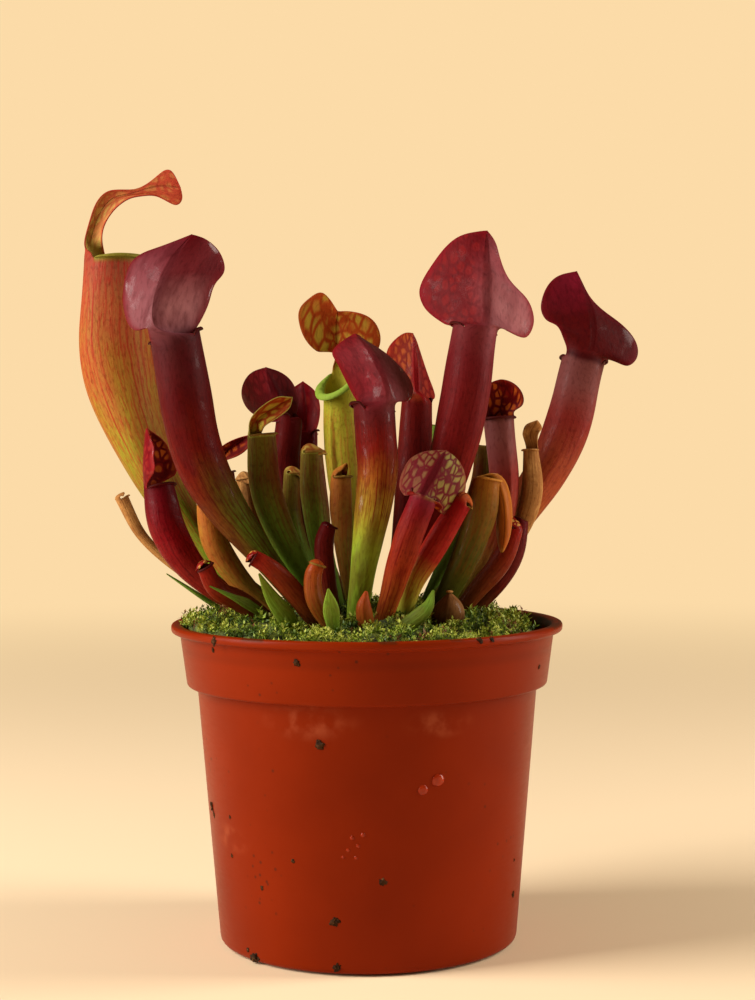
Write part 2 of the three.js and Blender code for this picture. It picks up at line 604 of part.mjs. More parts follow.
function compostSolid() {
  const inside = POT.wall + GAP;
  const floorTop = POT.footHeight + POT.floor + GAP;
  const rise = (COMPOST_TOP - POT.collarBottom) / (POT.height - POT.collarBottom);
  const topRadius = THREE.MathUtils.lerp(POT.collarBottomRadius, POT.collarTopRadius, rise) - inside;
  const plug = turned([
    [0, floorTop],
    [POT.baseRadius - inside, floorTop],
    [POT.bodyTopRadius - inside, POT.collarBottom - POT.wall],
    [POT.collarBottomRadius - inside, POT.collarBottom + POT.wall],
    [topRadius, COMPOST_TOP],
    [0, COMPOST_TOP],
  ], POT.segments);
  return plug.subtract(rhizomeSolid(GAP));
}

// The moss stands back from the pot's wall on one side, where the dark compost shows.
function mossReach(angle) {
  const turn = angle - MOSS.bareDirection;
  const away = Math.atan2(Math.sin(turn), Math.cos(turn));
  return MOSS.radius - MOSS.bareDepth * Math.exp(-((away / MOSS.bareWidth) ** 2))
    - MOSS.scallopDepth * Math.sin(MOSS.scallops * angle) ** 2;
}

function mossHeight(x, y) {
  const out = Math.min(1, Math.hypot(x, y) / MOSS.radius);
  const dome = THREE.MathUtils.lerp(MOSS.crownTop, MOSS.edgeTop, out ** 2);
  const { wide, narrow } = MOUNDS;
  const mounds = Math.sin(x * wide.x + wide.startX) * Math.cos(y * wide.y - wide.startY)
    + narrow.share * Math.sin(x * narrow.x - y * narrow.y);
  return dome + MOSS.bump * mounds * (1 - MOUNDS.calmedAtEdge * out ** 4);
}

function mossSolid() {
  const ringAt = (share, heightAt) => evenAngles(MOSS.segments).map((angle) => {
    const reach = mossReach(angle) * share;
    const [x, y] = [reach * Math.cos(angle), reach * Math.sin(angle)];
    return new THREE.Vector3(x, y, heightAt(x, y));
  });
  const rings = [
    ringAt(MOSS.edgeRound, () => COMPOST_TOP + GAP),
    ringAt(1, (x, y) => mossHeight(x, y) - MOSS.shoulder),
  ];
  for (let i = 0; i < MOSS.rings; i++) {
    rings.push(ringAt(MOSS.edgeRound * (1 - i / MOSS.rings), mossHeight));
  }
  return loft(rings);
}

// The socket that a leaf's foot takes in the moss and the creeping stem: six straight sides,
// from just under the foot to just over the moss, wide enough for the foot's own bend and keel.
function footSpace(leaf) {
  const angles = evenAngles(SOCKET_SIDES);
  const foot = stationOf(leaf, 0);
  foot.middle.addScaledVector(foot.along, -GAP);
  let t = 0;
  while (t < 1 && stationOf(leaf, t).middle.z < MOSS.crownTop + SOCKET_OVER) {
    t += SOCKET_STEP;
  }
  const top = stationOf(leaf, Math.min(t, 1));
  const reach = (station) => (station.radius + GAP + SOCKET_EASE) / Math.cos(Math.PI / SOCKET_SIDES);
  return loft([tubeRing(foot, reach(foot), angles, 0), tubeRing(top, reach(top), angles, 0)]);
}

addPiece("pot", potSolid(), "terracotta");
addPiece("compost", compostSolid(), "compost");

let rhizome = rhizomeSolid(0);
let moss = mossSolid().subtract(rhizomeSolid(GAP));
for (const leaf of LEAVES) {
  rhizome = rhizome.subtract(footSpace(leaf));
  moss = moss.subtract(footSpace(leaf));
}
addPiece("rhizome", largestPartOf(rhizome.simplify(CLEAN)), "rhizome");
addPiece("moss_carpet", largestPartOf(moss.simplify(CLEAN)), "moss");

export default group;
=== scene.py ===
# %% [markdown]
# # A potted pitcher plant
# A clump of trumpet pitchers grows through moss in a plastic nursery pot. This lesson builds it
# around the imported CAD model, which gives every place and size. Lengths are written in
# millimetres, as in the CAD, and become metres at the last moment.

# %% Load the CAD model
import math
import random

import bpy
from mathutils import Matrix, Vector, noise
from mathutils.bvhtree import BVHTree


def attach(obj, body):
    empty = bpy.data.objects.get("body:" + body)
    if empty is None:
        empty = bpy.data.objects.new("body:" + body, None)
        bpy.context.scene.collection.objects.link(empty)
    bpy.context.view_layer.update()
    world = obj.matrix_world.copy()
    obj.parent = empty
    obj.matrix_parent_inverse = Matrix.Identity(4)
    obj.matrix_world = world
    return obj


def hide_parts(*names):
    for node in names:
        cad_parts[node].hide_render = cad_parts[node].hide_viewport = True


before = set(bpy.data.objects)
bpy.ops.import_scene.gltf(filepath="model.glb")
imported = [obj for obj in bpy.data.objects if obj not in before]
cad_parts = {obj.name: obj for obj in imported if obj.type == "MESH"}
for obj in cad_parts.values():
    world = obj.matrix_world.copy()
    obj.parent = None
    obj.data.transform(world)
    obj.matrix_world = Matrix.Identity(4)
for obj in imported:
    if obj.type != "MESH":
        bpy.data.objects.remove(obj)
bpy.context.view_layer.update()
MM = 0.001
print("CAD nodes:", len(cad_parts))

# %% [markdown]
# The camera stands where the photographer's did: in front of the pot, a little above the moss,
# with a long lens that looks slightly down. The numbers come from matching the pot's rim,
# collar and foot.

# %% Camera
PICTURE = (755, 1000)
LENS = 69.4
SENSOR = 36
CAMERA_AT = (2.594, -443.95, 117.96)
LOOKS_DOWN = 0.0384
LEANS = 0.0052
camera_data = bpy.data.cameras.new("studio_camera")
camera_data.sensor_fit = "VERTICAL"
camera_data.sensor_height = SENSOR
camera_data.sensor_width = SENSOR
camera_data.lens = LENS
camera_data.clip_start = 0.01
camera = bpy.data.objects.new("studio_camera", camera_data)
camera.matrix_world = (
    Matrix.Translation(Vector(CAMERA_AT) * MM)
    @ Matrix.Rotation(math.pi / 2 - LOOKS_DOWN, 4, "X")
    @ Matrix.Rotation(-LEANS, 4, "Z")
)
bpy.context.scene.collection.objects.link(camera)
bpy.context.scene.camera = camera
bpy.context.scene.view_settings.view_transform = "Standard"


def sight(px, py):
    """The ray that leaves the camera through a point of the picture."""
    focal = LENS / SENSOR * PICTURE[1]
    local = Vector((px - PICTURE[0] / 2, PICTURE[1] / 2 - py, -focal)).normalized()
    return camera.matrix_world.translation, camera.matrix_world.to_3x3() @ local


# %% [markdown]
# Shader maths reads best as sums. A `Wire` holds one socket, and Python's signs on it add Math
# nodes. A `Finish` is one material: `node` adds any node, and the small methods after it name
# the few that come back often.

# %% Shader helpers
class Wire:
    """A socket that can be added to, multiplied and so on."""

    def __init__(self, finish, socket):
        self.finish, self.socket = finish, socket

    def sum(self, operation, *values):
        return self.finish.node("Math", {"operation": operation}, values)

    def __add__(self, other):
        return self.sum("ADD", self, other)

    def __sub__(self, other):
        return self.sum("SUBTRACT", self, other)

    def __rsub__(self, other):
        return self.sum("SUBTRACT", other, self)

    def __mul__(self, other):
        return self.sum("MULTIPLY", self, other)

    def __truediv__(self, other):
        return self.sum("DIVIDE", self, other)

    __radd__, __rmul__ = __add__, __mul__

    def __abs__(self):
        return self.sum("ABSOLUTE", self)

    def part(self):
        return self.sum("FRACT", self)

    def whole(self):
        return self.sum("FLOOR", self)

    def larger(self, other):
        return self.sum("MAXIMUM", self, other)


def linear(channel):
    share = channel / 255
    return share / 12.92 if share < 0.04 else ((share + 0.055) / 1.055) ** 2.4


def tint(red, green, blue):
    """A colour of 0 to 255 as the eye names it, made linear for the shader."""
    return linear(red), linear(green), linear(blue), 1


class Finish:
    """A material of nodes around one Principled shader."""

    def __init__(self, name, **constants):
        self.material = bpy.data.materials.new(name)
        self.material.use_nodes = True
        self.tree = self.material.node_tree
        self.shader = self.tree.nodes["Principled BSDF"]
        for key, value in constants.items():
            self.shader.inputs[key.replace("_", " ")].default_value = value

    def node(self, kind, settings=None, values=(), out=0):
        made = self.tree.nodes.new("ShaderNode" + kind)
        for key, value in (settings or {}).items():
            if key == "stops":
                ramp = made.color_ramp
                while len(ramp.elements) < len(value):
                    ramp.elements.new(0.5)
                for element, (place, colour) in zip(ramp.elements, value):
                    element.position, element.color = place, colour
            else:
                setattr(made, key, value)
        for key, value in values.items() if isinstance(values, dict) else enumerate(values):
            if isinstance(value, Wire):
                self.tree.links.new(value.socket, made.inputs[key])
            else:
                made.inputs[key].default_value = value
        return Wire(self, made.outputs[out])

    def smooth(self, value, low, high):
        return self.node("MapRange", {"interpolation_type": "SMOOTHSTEP"}, [value, low, high])

    def mix(self, share, first, second):
        return self.node("Mix", {"data_type": "RGBA"}, {0: share, 6: first, 7: second}, out=2)

    def ramp(self, value, stops):
        return self.node("ValToRGB", {"stops": stops}, [value])

    def vector(self, x, y, z):
        return self.node("CombineXYZ", None, [x, y, z])

    def scaled(self, vector, by):
        return self.node("VectorMath", {"operation": "MULTIPLY"}, [vector, by])

    def length(self, vector):
        return self.node("VectorMath", {"operation": "LENGTH"}, [vector], 1)

    def noise(self, vector, scale, detail):
        return self.node("TexNoise", None, {"Vector": vector, "Scale": scale, "Detail": detail})

    def cells(self, vector, scale, feature="DISTANCE_TO_EDGE"):
        return self.node("TexVoronoi", {"feature": feature}, {"Vector": vector, "Scale": scale})

    def map(self, name):
        both = self.node("UVMap", {"uv_map": name})
        return self.node("SeparateXYZ", None, [both], 0), self.node("SeparateXYZ", None, [both], 1)

    def place(self):
        return self.node("TexCoord", None, (), "Object")

    def join(self, **sockets):
        for key, value in sockets.items():
            self.tree.links.new(value.socket, self.shader.inputs[key.replace("_", " ")])
        return self.material

    def relief(self, height, depth):
        """Turns a height of 0 to 1 into a bump that is depth millimetres deep."""
        return self.node("Bump", None, {"Height": height, "Distance": depth * MM})


# %% [markdown]
# The studio is a wide pale floor under soft light. A large panel on the left gives the leaves
# their broad highlights, a narrower one on the right lights their rims, and the room fills the
# rest. The floor fades into the backdrop far from the pot, so no horizon shows behind the leaves.

# %% Floor and light
CREAM = tint(252, 219, 168)
FLOOR_RADIUS = 3.0
FLOOR_DROP = 0.0004
FADES = (0.12, 0.9)
PLANT_MIDDLE = (0, 0, 0.08)
ROOM_LIGHT = 0.13


def deselect():
    bpy.ops.object.select_all(action="DESELECT")


def pick(*chosen):
    """Selects these objects and no others, and makes the first one active."""
    deselect()
    for obj in chosen:
        obj.select_set(True)
    bpy.context.view_layer.objects.active = chosen[0]


def sized(obj):
    """Puts an object's place, turn and size into its mesh."""
    pick(obj)
    bpy.ops.object.transform_apply(location=True, rotation=True, scale=True)
    return obj


deselect()
bpy.ops.mesh.primitive_circle_add(
    vertices=96, radius=FLOOR_RADIUS, fill_type="NGON", location=(0, 0, -FLOOR_DROP))
floor = sized(bpy.context.object)
floor.name = "studio_floor"
paper = Finish("studio_paper", Roughness=0.9)
far = paper.smooth(paper.length(paper.place()), *FADES)
glow = paper.node("Emission", None, {"Color": CREAM, "Strength": 1.0})
paper.shader.inputs["Base Color"].default_value = tint(247, 222, 184)
blend = paper.node("MixShader", None, [far, Wire(paper, paper.shader.outputs[0]), glow])
paper.tree.links.new(blend.socket, paper.tree.nodes["Material Output"].inputs["Surface"])
floor.data.materials.append(paper.material)


def panel(name, at, size, power, colour):
    """A soft rectangle of light that faces the plant."""
    light = bpy.data.lights.new(name, "AREA")
    light.shape = "RECTANGLE"
    light.size, light.size_y = size
    light.energy = power
    light.color = colour
    lamp = bpy.data.objects.new(name, light)
    lamp.location = at
    lamp.rotation_euler = (Vector(PLANT_MIDDLE) - Vector(at)).to_track_quat("-Z", "Y").to_euler()
    bpy.context.scene.collection.objects.link(lamp)


panel("window_left", (-0.78, -0.2, 0.46), (0.45, 0.8), 14.5, (1.0, 0.95, 0.88))
panel("window_right_back", (0.66, 0.0, 0.34), (0.25, 0.7), 5.5, (1.0, 0.93, 0.84))
world = bpy.data.worlds.new("studio_room")
bpy.context.scene.world = world
world.use_nodes = True
room = world.node_tree
sky = room.nodes["Background"]
sky.inputs["Color"].default_value = CREAM
sky.inputs["Strength"].default_value = ROOM_LIGHT
backdrop = room.nodes.new("ShaderNodeBackground")
backdrop.inputs["Color"].default_value = CREAM
seen = room.nodes.new("ShaderNodeLightPath")
choose = room.nodes.new("ShaderNodeMixShader")
room.links.new(seen.outputs["Is Camera Ray"], choose.inputs[0])
room.links.new(sky.outputs[0], choose.inputs[1])
room.links.new(backdrop.outputs[0], choose.inputs[2])
room.links.new(choose.outputs[0], room.nodes["World Output"].inputs["Surface"])
print("floor, two lights and the room's own light of", ROOM_LIGHT)

# %% [markdown]
# A pitcher is a leaf rolled into a tube. It has a spine from its foot to its mouth, a keel down
# its front, a lip rolled outwards round the mouth, and a hood that carries on from the back of
# the mouth. Each row below holds one leaf: its spine as x, y, z and radius, the way it faces,
# the keel's height, and the hood's neck, blade and bends. They are the CAD's own numbers, so
# each leaf stays where its solid is.

# %% Leaves
BIG = {"around": 36, "rows": 18, "blade": 20, "smooth": 2}
MIDDLE = {"around": 24, "rows": 14, "blade": 13, "smooth": 2}
SMALL = {"around": 18, "rows": 11, "blade": 9, "smooth": 1}
BACK_ARC = math.radians(60)


def hood(neck, length, half, rise, lean, curl, fold, roll, lobe=0.0, turn=0.0, sway=0.0, waist=0.75):
    """Lengths in millimetres, angles in degrees; lobe and waist are shares of a width."""
    angles = {"rise": rise, "lean": lean, "curl": curl, "fold": fold,
              "roll": roll, "turn": turn, "sway": sway}
    shape = {key: math.radians(value) for key, value in angles.items()}
    return {**shape, "neck": neck, "length": length, "half": half, "lobe": lobe, "waist": waist}


LEAVES = {}


def leaf(name, detail, facing, keel, spine, hood=None, flat=1.0, lip=0.14, wave=0.5):
    LEAVES[name] = {
        "name": name, "detail": detail, "facing": math.radians(facing), "keel": keel, "spine": spine,
        "hood": hood, "flat": flat, "lip": lip, "wave": wave, "seed": len(LEAVES) * 7.3,
    }


leaf("front_left_pitcher", BIG, 84, 1.2,
     [(-8, -11, 70, 1.6), (-22.5, -15, 88.5, 3.4), (-36, -18.5, 109, 6.2), (-41.5, -20, 137, 5.4)],
     hood(3, 23, 12.5, 8, 12, 20, 18, 22, 0.25, 12, -38), lip=0.35, wave=0.7)
leaf("centre_pitcher", BIG, 125, 1.8,
     [(-3, -15, 70, 2), (-0.5, -17, 88, 3.6), (2.5, -17, 106, 5.2), (2, -16, 121, 4.6)],
     hood(8, 16, 11.5, 5, 52, 20, 36, 25, 0.4, -15, 0), lip=0.35)
leaf("right_tall_pitcher", BIG, 120, 1.2,
     [(5, -8, 70, 1.8), (14, -11, 96, 4.2), (21, -13, 118, 5.4), (24.5, -12, 139, 5)],
     hood(4, 22, 15, 10, 14, 22, 20, 25, 0.32, -10, 0), lip=0.3, wave=0.4)
leaf("far_right_pitcher", BIG, 84, 1.2,
     [(9, 2, 70, 1.6), (30, 10, 90, 3.6), (46, 19, 112, 5.4), (52.5, 24, 133, 5.2)],
     hood(6, 16, 12, 8, 36, 15, -8, -6, 0.1, 10, -16), lip=0.3, wave=0.7)
leaf("back_left_tall_pitcher", BIG, -8, 1.2,
     [(-10, 2, 70, 1.6), (-33, 9, 83, 2.6), (-50, 15, 106, 5.4), (-59.5, 20, 132, 8.6),
      (-60.5, 22, 158, 7.2)],
     hood(22, 13, 5.5, 80, 72, -15, -10, 20, 0, 0, 0, 0.5), lip=0.4, wave=0.3)
leaf("back_centre_pitcher", BIG, -125, 1.2,
     [(-1, 7, 70, 1.8), (-3.5, 15, 92, 3.4), (-5.5, 21, 112, 4.6), (-6.5, 22, 129, 4)],
     hood(7, 13, 10, 5, 10, 15, -20, 20, 0.2, 30, 4), lip=0.9)
leaf("back_right_pitcher", MIDDLE, 120, 0.8,
     [(4, 2, 70, 1.5), (8.5, 6, 90, 2.8), (11, 9, 108, 4), (12, 10, 123, 3.6)],
     hood(2, 16, 9, 8, 12, 15, 40, 20, 0.2, 0, -8))
leaf("spotted_pitcher", MIDDLE, 80, 0.8,
     [(2, -20, 70, 1.5), (6, -24, 83, 2.6), (9, -26, 93, 3.2), (12.5, -26, 102, 3)],
     hood(1.5, 13, 9.5, 10, 22, 30, 20, 40, 0.35, -5, -4))
leaf("red_green_pitcher", SMALL, 60, 0.8,
     [(7, -15, 70, 1.4), (10, -19, 82, 2.2), (15, -20, 91, 2.8), (21, -20, 101, 2.4)],
     hood(2, 6, 3, 40, 80, 40, 20, 40, 0.1))
leaf("right_middle_pitcher", MIDDLE, -70, 0.8,
     [(15, -1, 70, 1.5), (26, 2, 84, 2.6), (32, 5, 100, 3.4), (31, 6, 118.5, 3.6)],
     hood(2, 10, 8, 5, 15, 10, 10, 40, 0.1))
leaf("green_left_pitcher", MIDDLE, -30, 0.8,
     [(-8, -5, 70, 1.6), (-17, -8, 89, 3), (-22.5, -9, 103, 3.6), (-23.5, -9, 116, 3.2)],
     hood(3, 9, 2.4, 30, 55, 10, 30, 30, 0, 0, 20))
leaf("dark_back_left_pitcher", MIDDLE, 165, 0.8,
     [(-6, 8, 70, 1.4), (-16, 14, 90, 2.6), (-19.5, 20, 106, 3.4), (-18.5, 20, 119, 3.2)],
     hood(2, 15, 10, 20, 45, 20, 40, 25, 0.2))
leaf("red_back_pitcher", MIDDLE, 60, 0.8,
     [(-3, 10, 70, 1.4), (-12, 22, 90, 2.4), (-15, 28, 104, 3.2), (-15, 28, 115, 3)],
     hood(2, 13, 8, 10, 25, 20, 20, 40, 0.2, 20, 0))
leaf("low_left_pitcher", MIDDLE, -20, 0.8,
     [(-17, -5, 70, 1.5), (-37, -5, 83, 3), (-45, -4, 93.5, 4.2), (-47.5, -2, 104, 3.6)],
     hood(2, 13, 7, 5, 10, 15, 20, 50, 0.1))
leaf("small_red_left_pitcher", SMALL, -50, 0.6,
     [(-11, 0, 70, 1.2), (-22, 6, 86, 2), (-31, 9, 97, 2.4), (-33, 9, 107, 2)],
     hood(1.5, 8, 3.5, 10, 20, 20, 20, 30, 0, 0, 50))
leaf("brown_arched_pitcher", SMALL, -60, 0.6,
     [(-11, -3, 70, 1.2), (-20, -2, 84, 1.8), (-27, 0, 96, 2.4), (-28, 0, 106, 2)],
     hood(2, 6, 2.2, 60, 110, 40, 20, 40))
leaf("green_arched_pitcher", SMALL, 0, 0.6,
     [(-6, 1, 70, 1.2), (-14, 4, 86, 1.6), (-17.5, 6, 97, 2), (-17.5, 6, 107, 1.8)],
     hood(2, 6, 2, 60, 110, 40, 20, 40))
leaf("brown_middle_pitcher", SMALL, -20, 0.8,
     [(-5, -2, 70, 1.4), (-10, -2, 88, 2.4), (-12, -1, 101, 3), (-12.5, -1, 112, 2.6)],
     hood(2, 7, 2.6, 50, 100, 40, 20, 40))
leaf("orange_middle_pitcher", SMALL, -30, 0.6,
     [(-2, 1, 70, 1.2), (-5, 5, 86, 1.8), (-6, 8, 97, 2.6), (-6, 8, 106, 2.4)],
     hood(1, 5, 2.4, 20, 50, 30, 20, 40))
leaf("olive_arched_pitcher", SMALL, -20, 0.8,
     [(13, -8, 70, 1.4), (20, -10, 84, 2.6), (25, -11, 96, 3.6), (27, -11, 106, 3.2)],
     hood(5, 9, 3, 100, 170, 10, 30, 30))
leaf("tan_dried_pitcher", SMALL, -120, 0.5,
     [(19, 4, 70, 1.2), (33, 5.5, 88, 1.6), (38.5, 6, 101, 2.6), (38.5, 7, 112, 1.8)],
     hood(2, 6, 2.5, 10, 60, 90, 10, 50))
leaf("low_right_pitcher", SMALL, 150, 0.6,
     [(17, -4, 70, 1.4), (25, -4, 80, 2.2), (31, -3, 87, 2.6), (34, -2, 94, 2)],
     hood(1, 5, 2, 30, 60, 20, 20, 30))
leaf("far_left_dried_pitcher", SMALL, 30, 0.3,
     [(-19, 2, 70, 1), (-38, 8, 80, 1), (-52, 10, 91, 1.2), (-57.5, 10, 101, 1.6)],
     hood(1, 3, 2, 20, 80, 20, 10, 20))
leaf("amber_left_pitcher", SMALL, 20, 0.6,
     [(-13, -7.5, 70, 1.4), (-26, -8, 80, 2.2), (-34, -9, 91, 3), (-36, -9, 101, 2.4)])
leaf("left_bud", SMALL, -60, 0.4,
     [(-17, -11, 70, 1.6), (-27, -16, 78.5, 2.4), (-33, -19, 82, 2.2), (-35.5, -20, 87, 1.8)],
     hood(1, 3.5, 2, 20, 60, 60, 10, 50))
leaf("front_red_bud", SMALL, 200, 0.4,
     [(-8, -20, 70, 1.4), (-14, -25, 80, 2.2), (-20, -28, 87, 2), (-24, -28, 89.5, 1.8)],
     hood(1, 4, 2, 30, 60, 60, 10, 50))
leaf("rust_bud", SMALL, -70, 0.4,
     [(-4, -25, 70, 1.4), (-10.5, -28, 79, 2), (-11.5, -28, 85, 2), (-10.5, -28, 88, 1.6)],
     hood(0.8, 3.5, 1.8, 30, 80, 50, 10, 50))
leaf("dark_bud", SMALL, 20, 0.4,
     [(-6, -13, 70, 1.2), (-8.5, -15, 82, 1.8), (-9.5, -15, 91, 2.2), (-8.5, -15, 95.5, 1.8)],
     hood(0.8, 3.5, 1.8, 30, 80, 50, 10, 50))
leaf("olive_back_pitcher", SMALL, 100, 0.6,
     [(11, 9, 70, 1.3), (20, 15, 88, 2), (27, 18, 103, 2.4), (28, 19, 113, 2)])
leaf("green_back_pitcher", SMALL, 90, 0.6,
     [(6, 8, 70, 1.3), (13, 16, 92, 2), (16.5, 20, 108, 2.4), (17, 21, 118, 1.8)])
leaf("low_right_back_pitcher", SMALL, 160, 0.6,
     [(19, 1, 70, 1.3), (29, 2, 80, 2.2), (34, 3, 88, 2.6), (36, 4, 96, 1.8)])
leaf("amber_bud", SMALL, -90, 0.3,
     [(1, -24, 70, 1.4), (0, -28, 75, 1.9), (-0.5, -29.5, 79, 1.7), (0, -30, 82, 0.5)])
leaf("brown_cup", SMALL, -100, 0.3,
     [(17, -13.5, 70, 2.4), (18, -16, 74.5, 3), (18.5, -17, 78, 3.4), (18.5, -17, 81, 2.6)])
leaf("right_leaflet", SMALL, 60, 0,
     [(3, -25, 70, 1), (9, -28, 75, 1.8), (13, -29, 78.5, 1.6), (14.5, -27, 82, 0.4)], flat=0.45)
leaf("front_leaflet", SMALL, -85, 0,
     [(-6, -31, 70.5, 0.7), (-7, -32, 75, 1.4), (-7.5, -32.5, 79, 1.8), (-8, -33, 83, 0.3)], flat=0.3)
leaf("left_leaflet", SMALL, -70, 0,
     [(-14, -24, 70, 1.2), (-17, -26, 76, 2.2), (-20.5, -27, 81, 1.6), (-23, -28, 86, 0.3)], flat=0.3)
leaf("left_phyllode", SMALL, 0, 0,
     [(-16, -15, 70, 1.2), (-24, -20, 77.5, 1.6), (-28, -22, 80, 1.4), (-34, -23, 83, 0.3)], flat=0.4)
leaf("far_left_spike", SMALL, 0, 0,
     [(-24, -1, 70, 1), (-34, 0, 76, 1.3), (-40, 0, 80, 1), (-46, 0, 84, 0.3)], flat=0.5)
print("leaves:", len(LEAVES))

# %% [markdown]
# No two hoods have the same outline, and it is what the eye knows a pitcher by. The CAD's hoods
# are even on both sides, so the larger ones are drawn again here. Each has three lines from its
# neck to its tip, as points of the picture: its left edge, its midrib and its right edge. An
# edge that shows is read to within a few pixels. An edge behind another leaf is a guess
# that carries the visible part on, as on the left of red_back, back_right and right_middle. Six
# midribs are only laid between their edges: back_left_tall, dark_back_left, red_back,
# right_middle, small_red_left and green_left. Of olive_arched only the outer curve is read, and
# tan_dried is out of focus, so its lines are rough.
# The picture gives no depth, so the leaf's own fold, roll and lean still give that. `starts` is
# where on the hood the drawing takes over, if that isn't the end of the neck. Three tables then
# shape the tubes: `SLIM` thins or widens them against their solids, `SLANT` tips a mouth,
# and `RAISED` lifts the rim on its two sides and keeps the neck broad, so that no daylight shows
# between rim and hood.

# %% Outlines of the hoods
DRAWN = {}


def draw(name, tip, left, rib, right, starts=None):
    """Keeps one hood's three lines, which all end at its tip."""
    DRAWN[name] = {"starts": starts, "left": left + [tip], "rib": rib + [tip], "right": right + [tip]}


draw("front_left_pitcher", (192, 234), starts=0.04,
     left=[(153, 338), (147, 328), (137, 331), (128, 326), (122, 305), (124, 278), (135, 256), (163, 245)],
     rib=[(160, 338), (153, 314), (160, 283), (174, 257)],
     right=[(196, 340), (186, 341), (197, 329), (209, 306), (215, 285), (226, 271), (221, 252), (207, 239)])
draw("centre_pitcher", (355, 333), starts=0.03,
     left=[(358, 411), (357, 403), (352, 395), (343, 377), (336, 363), (331, 352), (341, 341)],
     rib=[(390, 411), (388, 388), (380, 367), (368, 346)],
     right=[(396, 411), (398, 402), (408, 402), (414, 392), (411, 379), (399, 364), (384, 351), (366, 340)])
draw("right_tall_pitcher", (487, 230), starts=0.03,
     left=[(454, 333), (447, 326), (437, 320), (424, 309), (418, 294), (421, 281), (430, 266), (445, 246),
           (462, 234)],
     rib=[(487, 334), (488, 308), (488, 280), (488, 255)],
     right=[(497, 333), (503, 330), (511, 332), (520, 337), (528, 338), (534, 328), (535, 316), (529, 299),
            (515, 286), (506, 273), (500, 256), (496, 241)])
draw("far_right_pitcher", (577, 271), starts=0.05,
     left=[(568, 357), (561, 334), (556, 324), (545, 319), (540, 306), (546, 287), (558, 275)],
     rib=[(589, 360), (593, 337), (592, 314), (586, 290)],
     right=[(606, 363), (617, 363), (627, 367), (637, 360), (639, 348), (633, 335), (620, 322), (605, 313),
            (592, 306), (584, 289)])
draw("back_left_tall_pitcher", (181, 188), starts=0.03,
     left=[(81, 262), (82, 247), (88, 224), (95, 203), (106, 191), (120, 189), (136, 189), (151, 181),
           (164, 170), (173, 171)],
     rib=[(92, 262), (90, 246), (95, 226), (104, 207), (116, 197), (130, 194), (146, 189), (160, 186),
          (171, 187)],
     right=[(108, 262), (103, 245), (104, 228), (114, 211), (128, 200), (140, 197), (156, 196), (167, 202),
            (177, 206), (183, 199)])
draw("back_centre_pitcher", (338, 311),
     left=[(331, 346), (320, 353), (306, 342), (299, 325), (298, 309), (309, 298), (321, 291), (330, 300)],
     rib=[(337, 350), (338, 335), (338, 322)],
     right=[(343, 350), (356, 358), (372, 356), (380, 347), (381, 334), (375, 321), (364, 314), (351, 312)])
draw("back_right_pitcher", (413, 333),
     left=[(404, 400), (395, 392), (386, 375), (385, 353), (392, 341), (404, 332)],
     rib=[(417, 400), (417, 378), (416, 356)],
     right=[(425, 400), (434, 400), (436, 394), (429, 376), (421, 352), (417, 340)])
draw("spotted_pitcher", (446, 450),
     left=[(411, 504), (404, 496), (398, 487), (401, 472), (410, 457), (427, 450)],
     rib=[(417, 503), (424, 490), (433, 473), (440, 460)],
     right=[(430, 504), (438, 508), (443, 516), (453, 514), (463, 503), (467, 488), (466, 472), (458, 458)])
draw("tan_dried_pitcher", (537, 420), starts=0.05,
     left=[(523, 441), (522, 432), (527, 424)],
     rib=[(530, 441), (530, 433), (533, 426)],
     right=[(538, 441), (539, 434), (542, 427)])
draw("dark_back_left_pitcher", (266, 367),
     left=[(276, 428), (258, 418), (246, 409), (240, 395), (243, 381), (252, 371)],
     rib=[(284, 428), (280, 408), (272, 388)],
     right=[(291, 428), (298, 412), (299, 396), (292, 380), (280, 371)])
draw("red_back_pitcher", (303, 381),
     left=[(299, 440), (290, 428), (286, 408), (290, 390)],
     rib=[(304, 440), (306, 420), (305, 400)],
     right=[(310, 440), (318, 428), (321, 408), (316, 391)])
draw("right_middle_pitcher", (500, 379),
     left=[(489, 424), (485, 412), (484, 396), (489, 383)],
     rib=[(497, 424), (500, 410), (502, 395)],
     right=[(508, 424), (515, 418), (514, 411), (523, 407), (525, 397), (519, 386), (509, 380)])
draw("small_red_left_pitcher", (252, 434), starts=0.05,
     left=[(215, 458), (221, 446), (236, 438)],
     rib=[(216, 461), (228, 450), (240, 442)],
     right=[(218, 463), (226, 461), (240, 456), (251, 446)])
draw("green_left_pitcher", (293, 397), starts=0.05,
     left=[(247, 433), (250, 418), (262, 405), (278, 396)],
     rib=[(254, 434), (257, 420), (268, 411), (280, 404)],
     right=[(262, 436), (265, 427), (276, 420), (290, 409)])
draw("olive_arched_pitcher", (502, 553), starts=0.03,
     left=[(476, 482), (484, 474), (495, 472), (505, 480), (510, 496), (512, 517), (509, 540)],
     rib=[(479, 484), (487, 478), (496, 480), (501, 491), (504, 506), (505, 524), (504, 540)],
     right=[(488, 486), (492, 483), (496, 490), (498, 507), (497, 530), (499, 546)])
SLIM = {"centre_pitcher": (1, 0.85, 0.87, 1), "front_left_pitcher": (1, 0.85, 0.92, 1.03),
        "brown_cup": (1, 1.2, 0.95, 0.1)}
SLANT = {"back_centre_pitcher": 4.5}
BROAD_NECK = 1.1
RAISED = {
    "front_left_pitcher": (0.3, 1.3), "right_tall_pitcher": (0.8, 0), "centre_pitcher": (2, 0),
    "far_right_pitcher": (0, 2), "back_right_pitcher": (2.4, 1.5), "red_back_pitcher": (1.8, 1.8),
    "right_middle_pitcher": (1, 1), "dark_back_left_pitcher": (1.8, 1.8), "spotted_pitcher": (1.2, 0.6),
}
print("hoods drawn from the picture:", len(DRAWN))

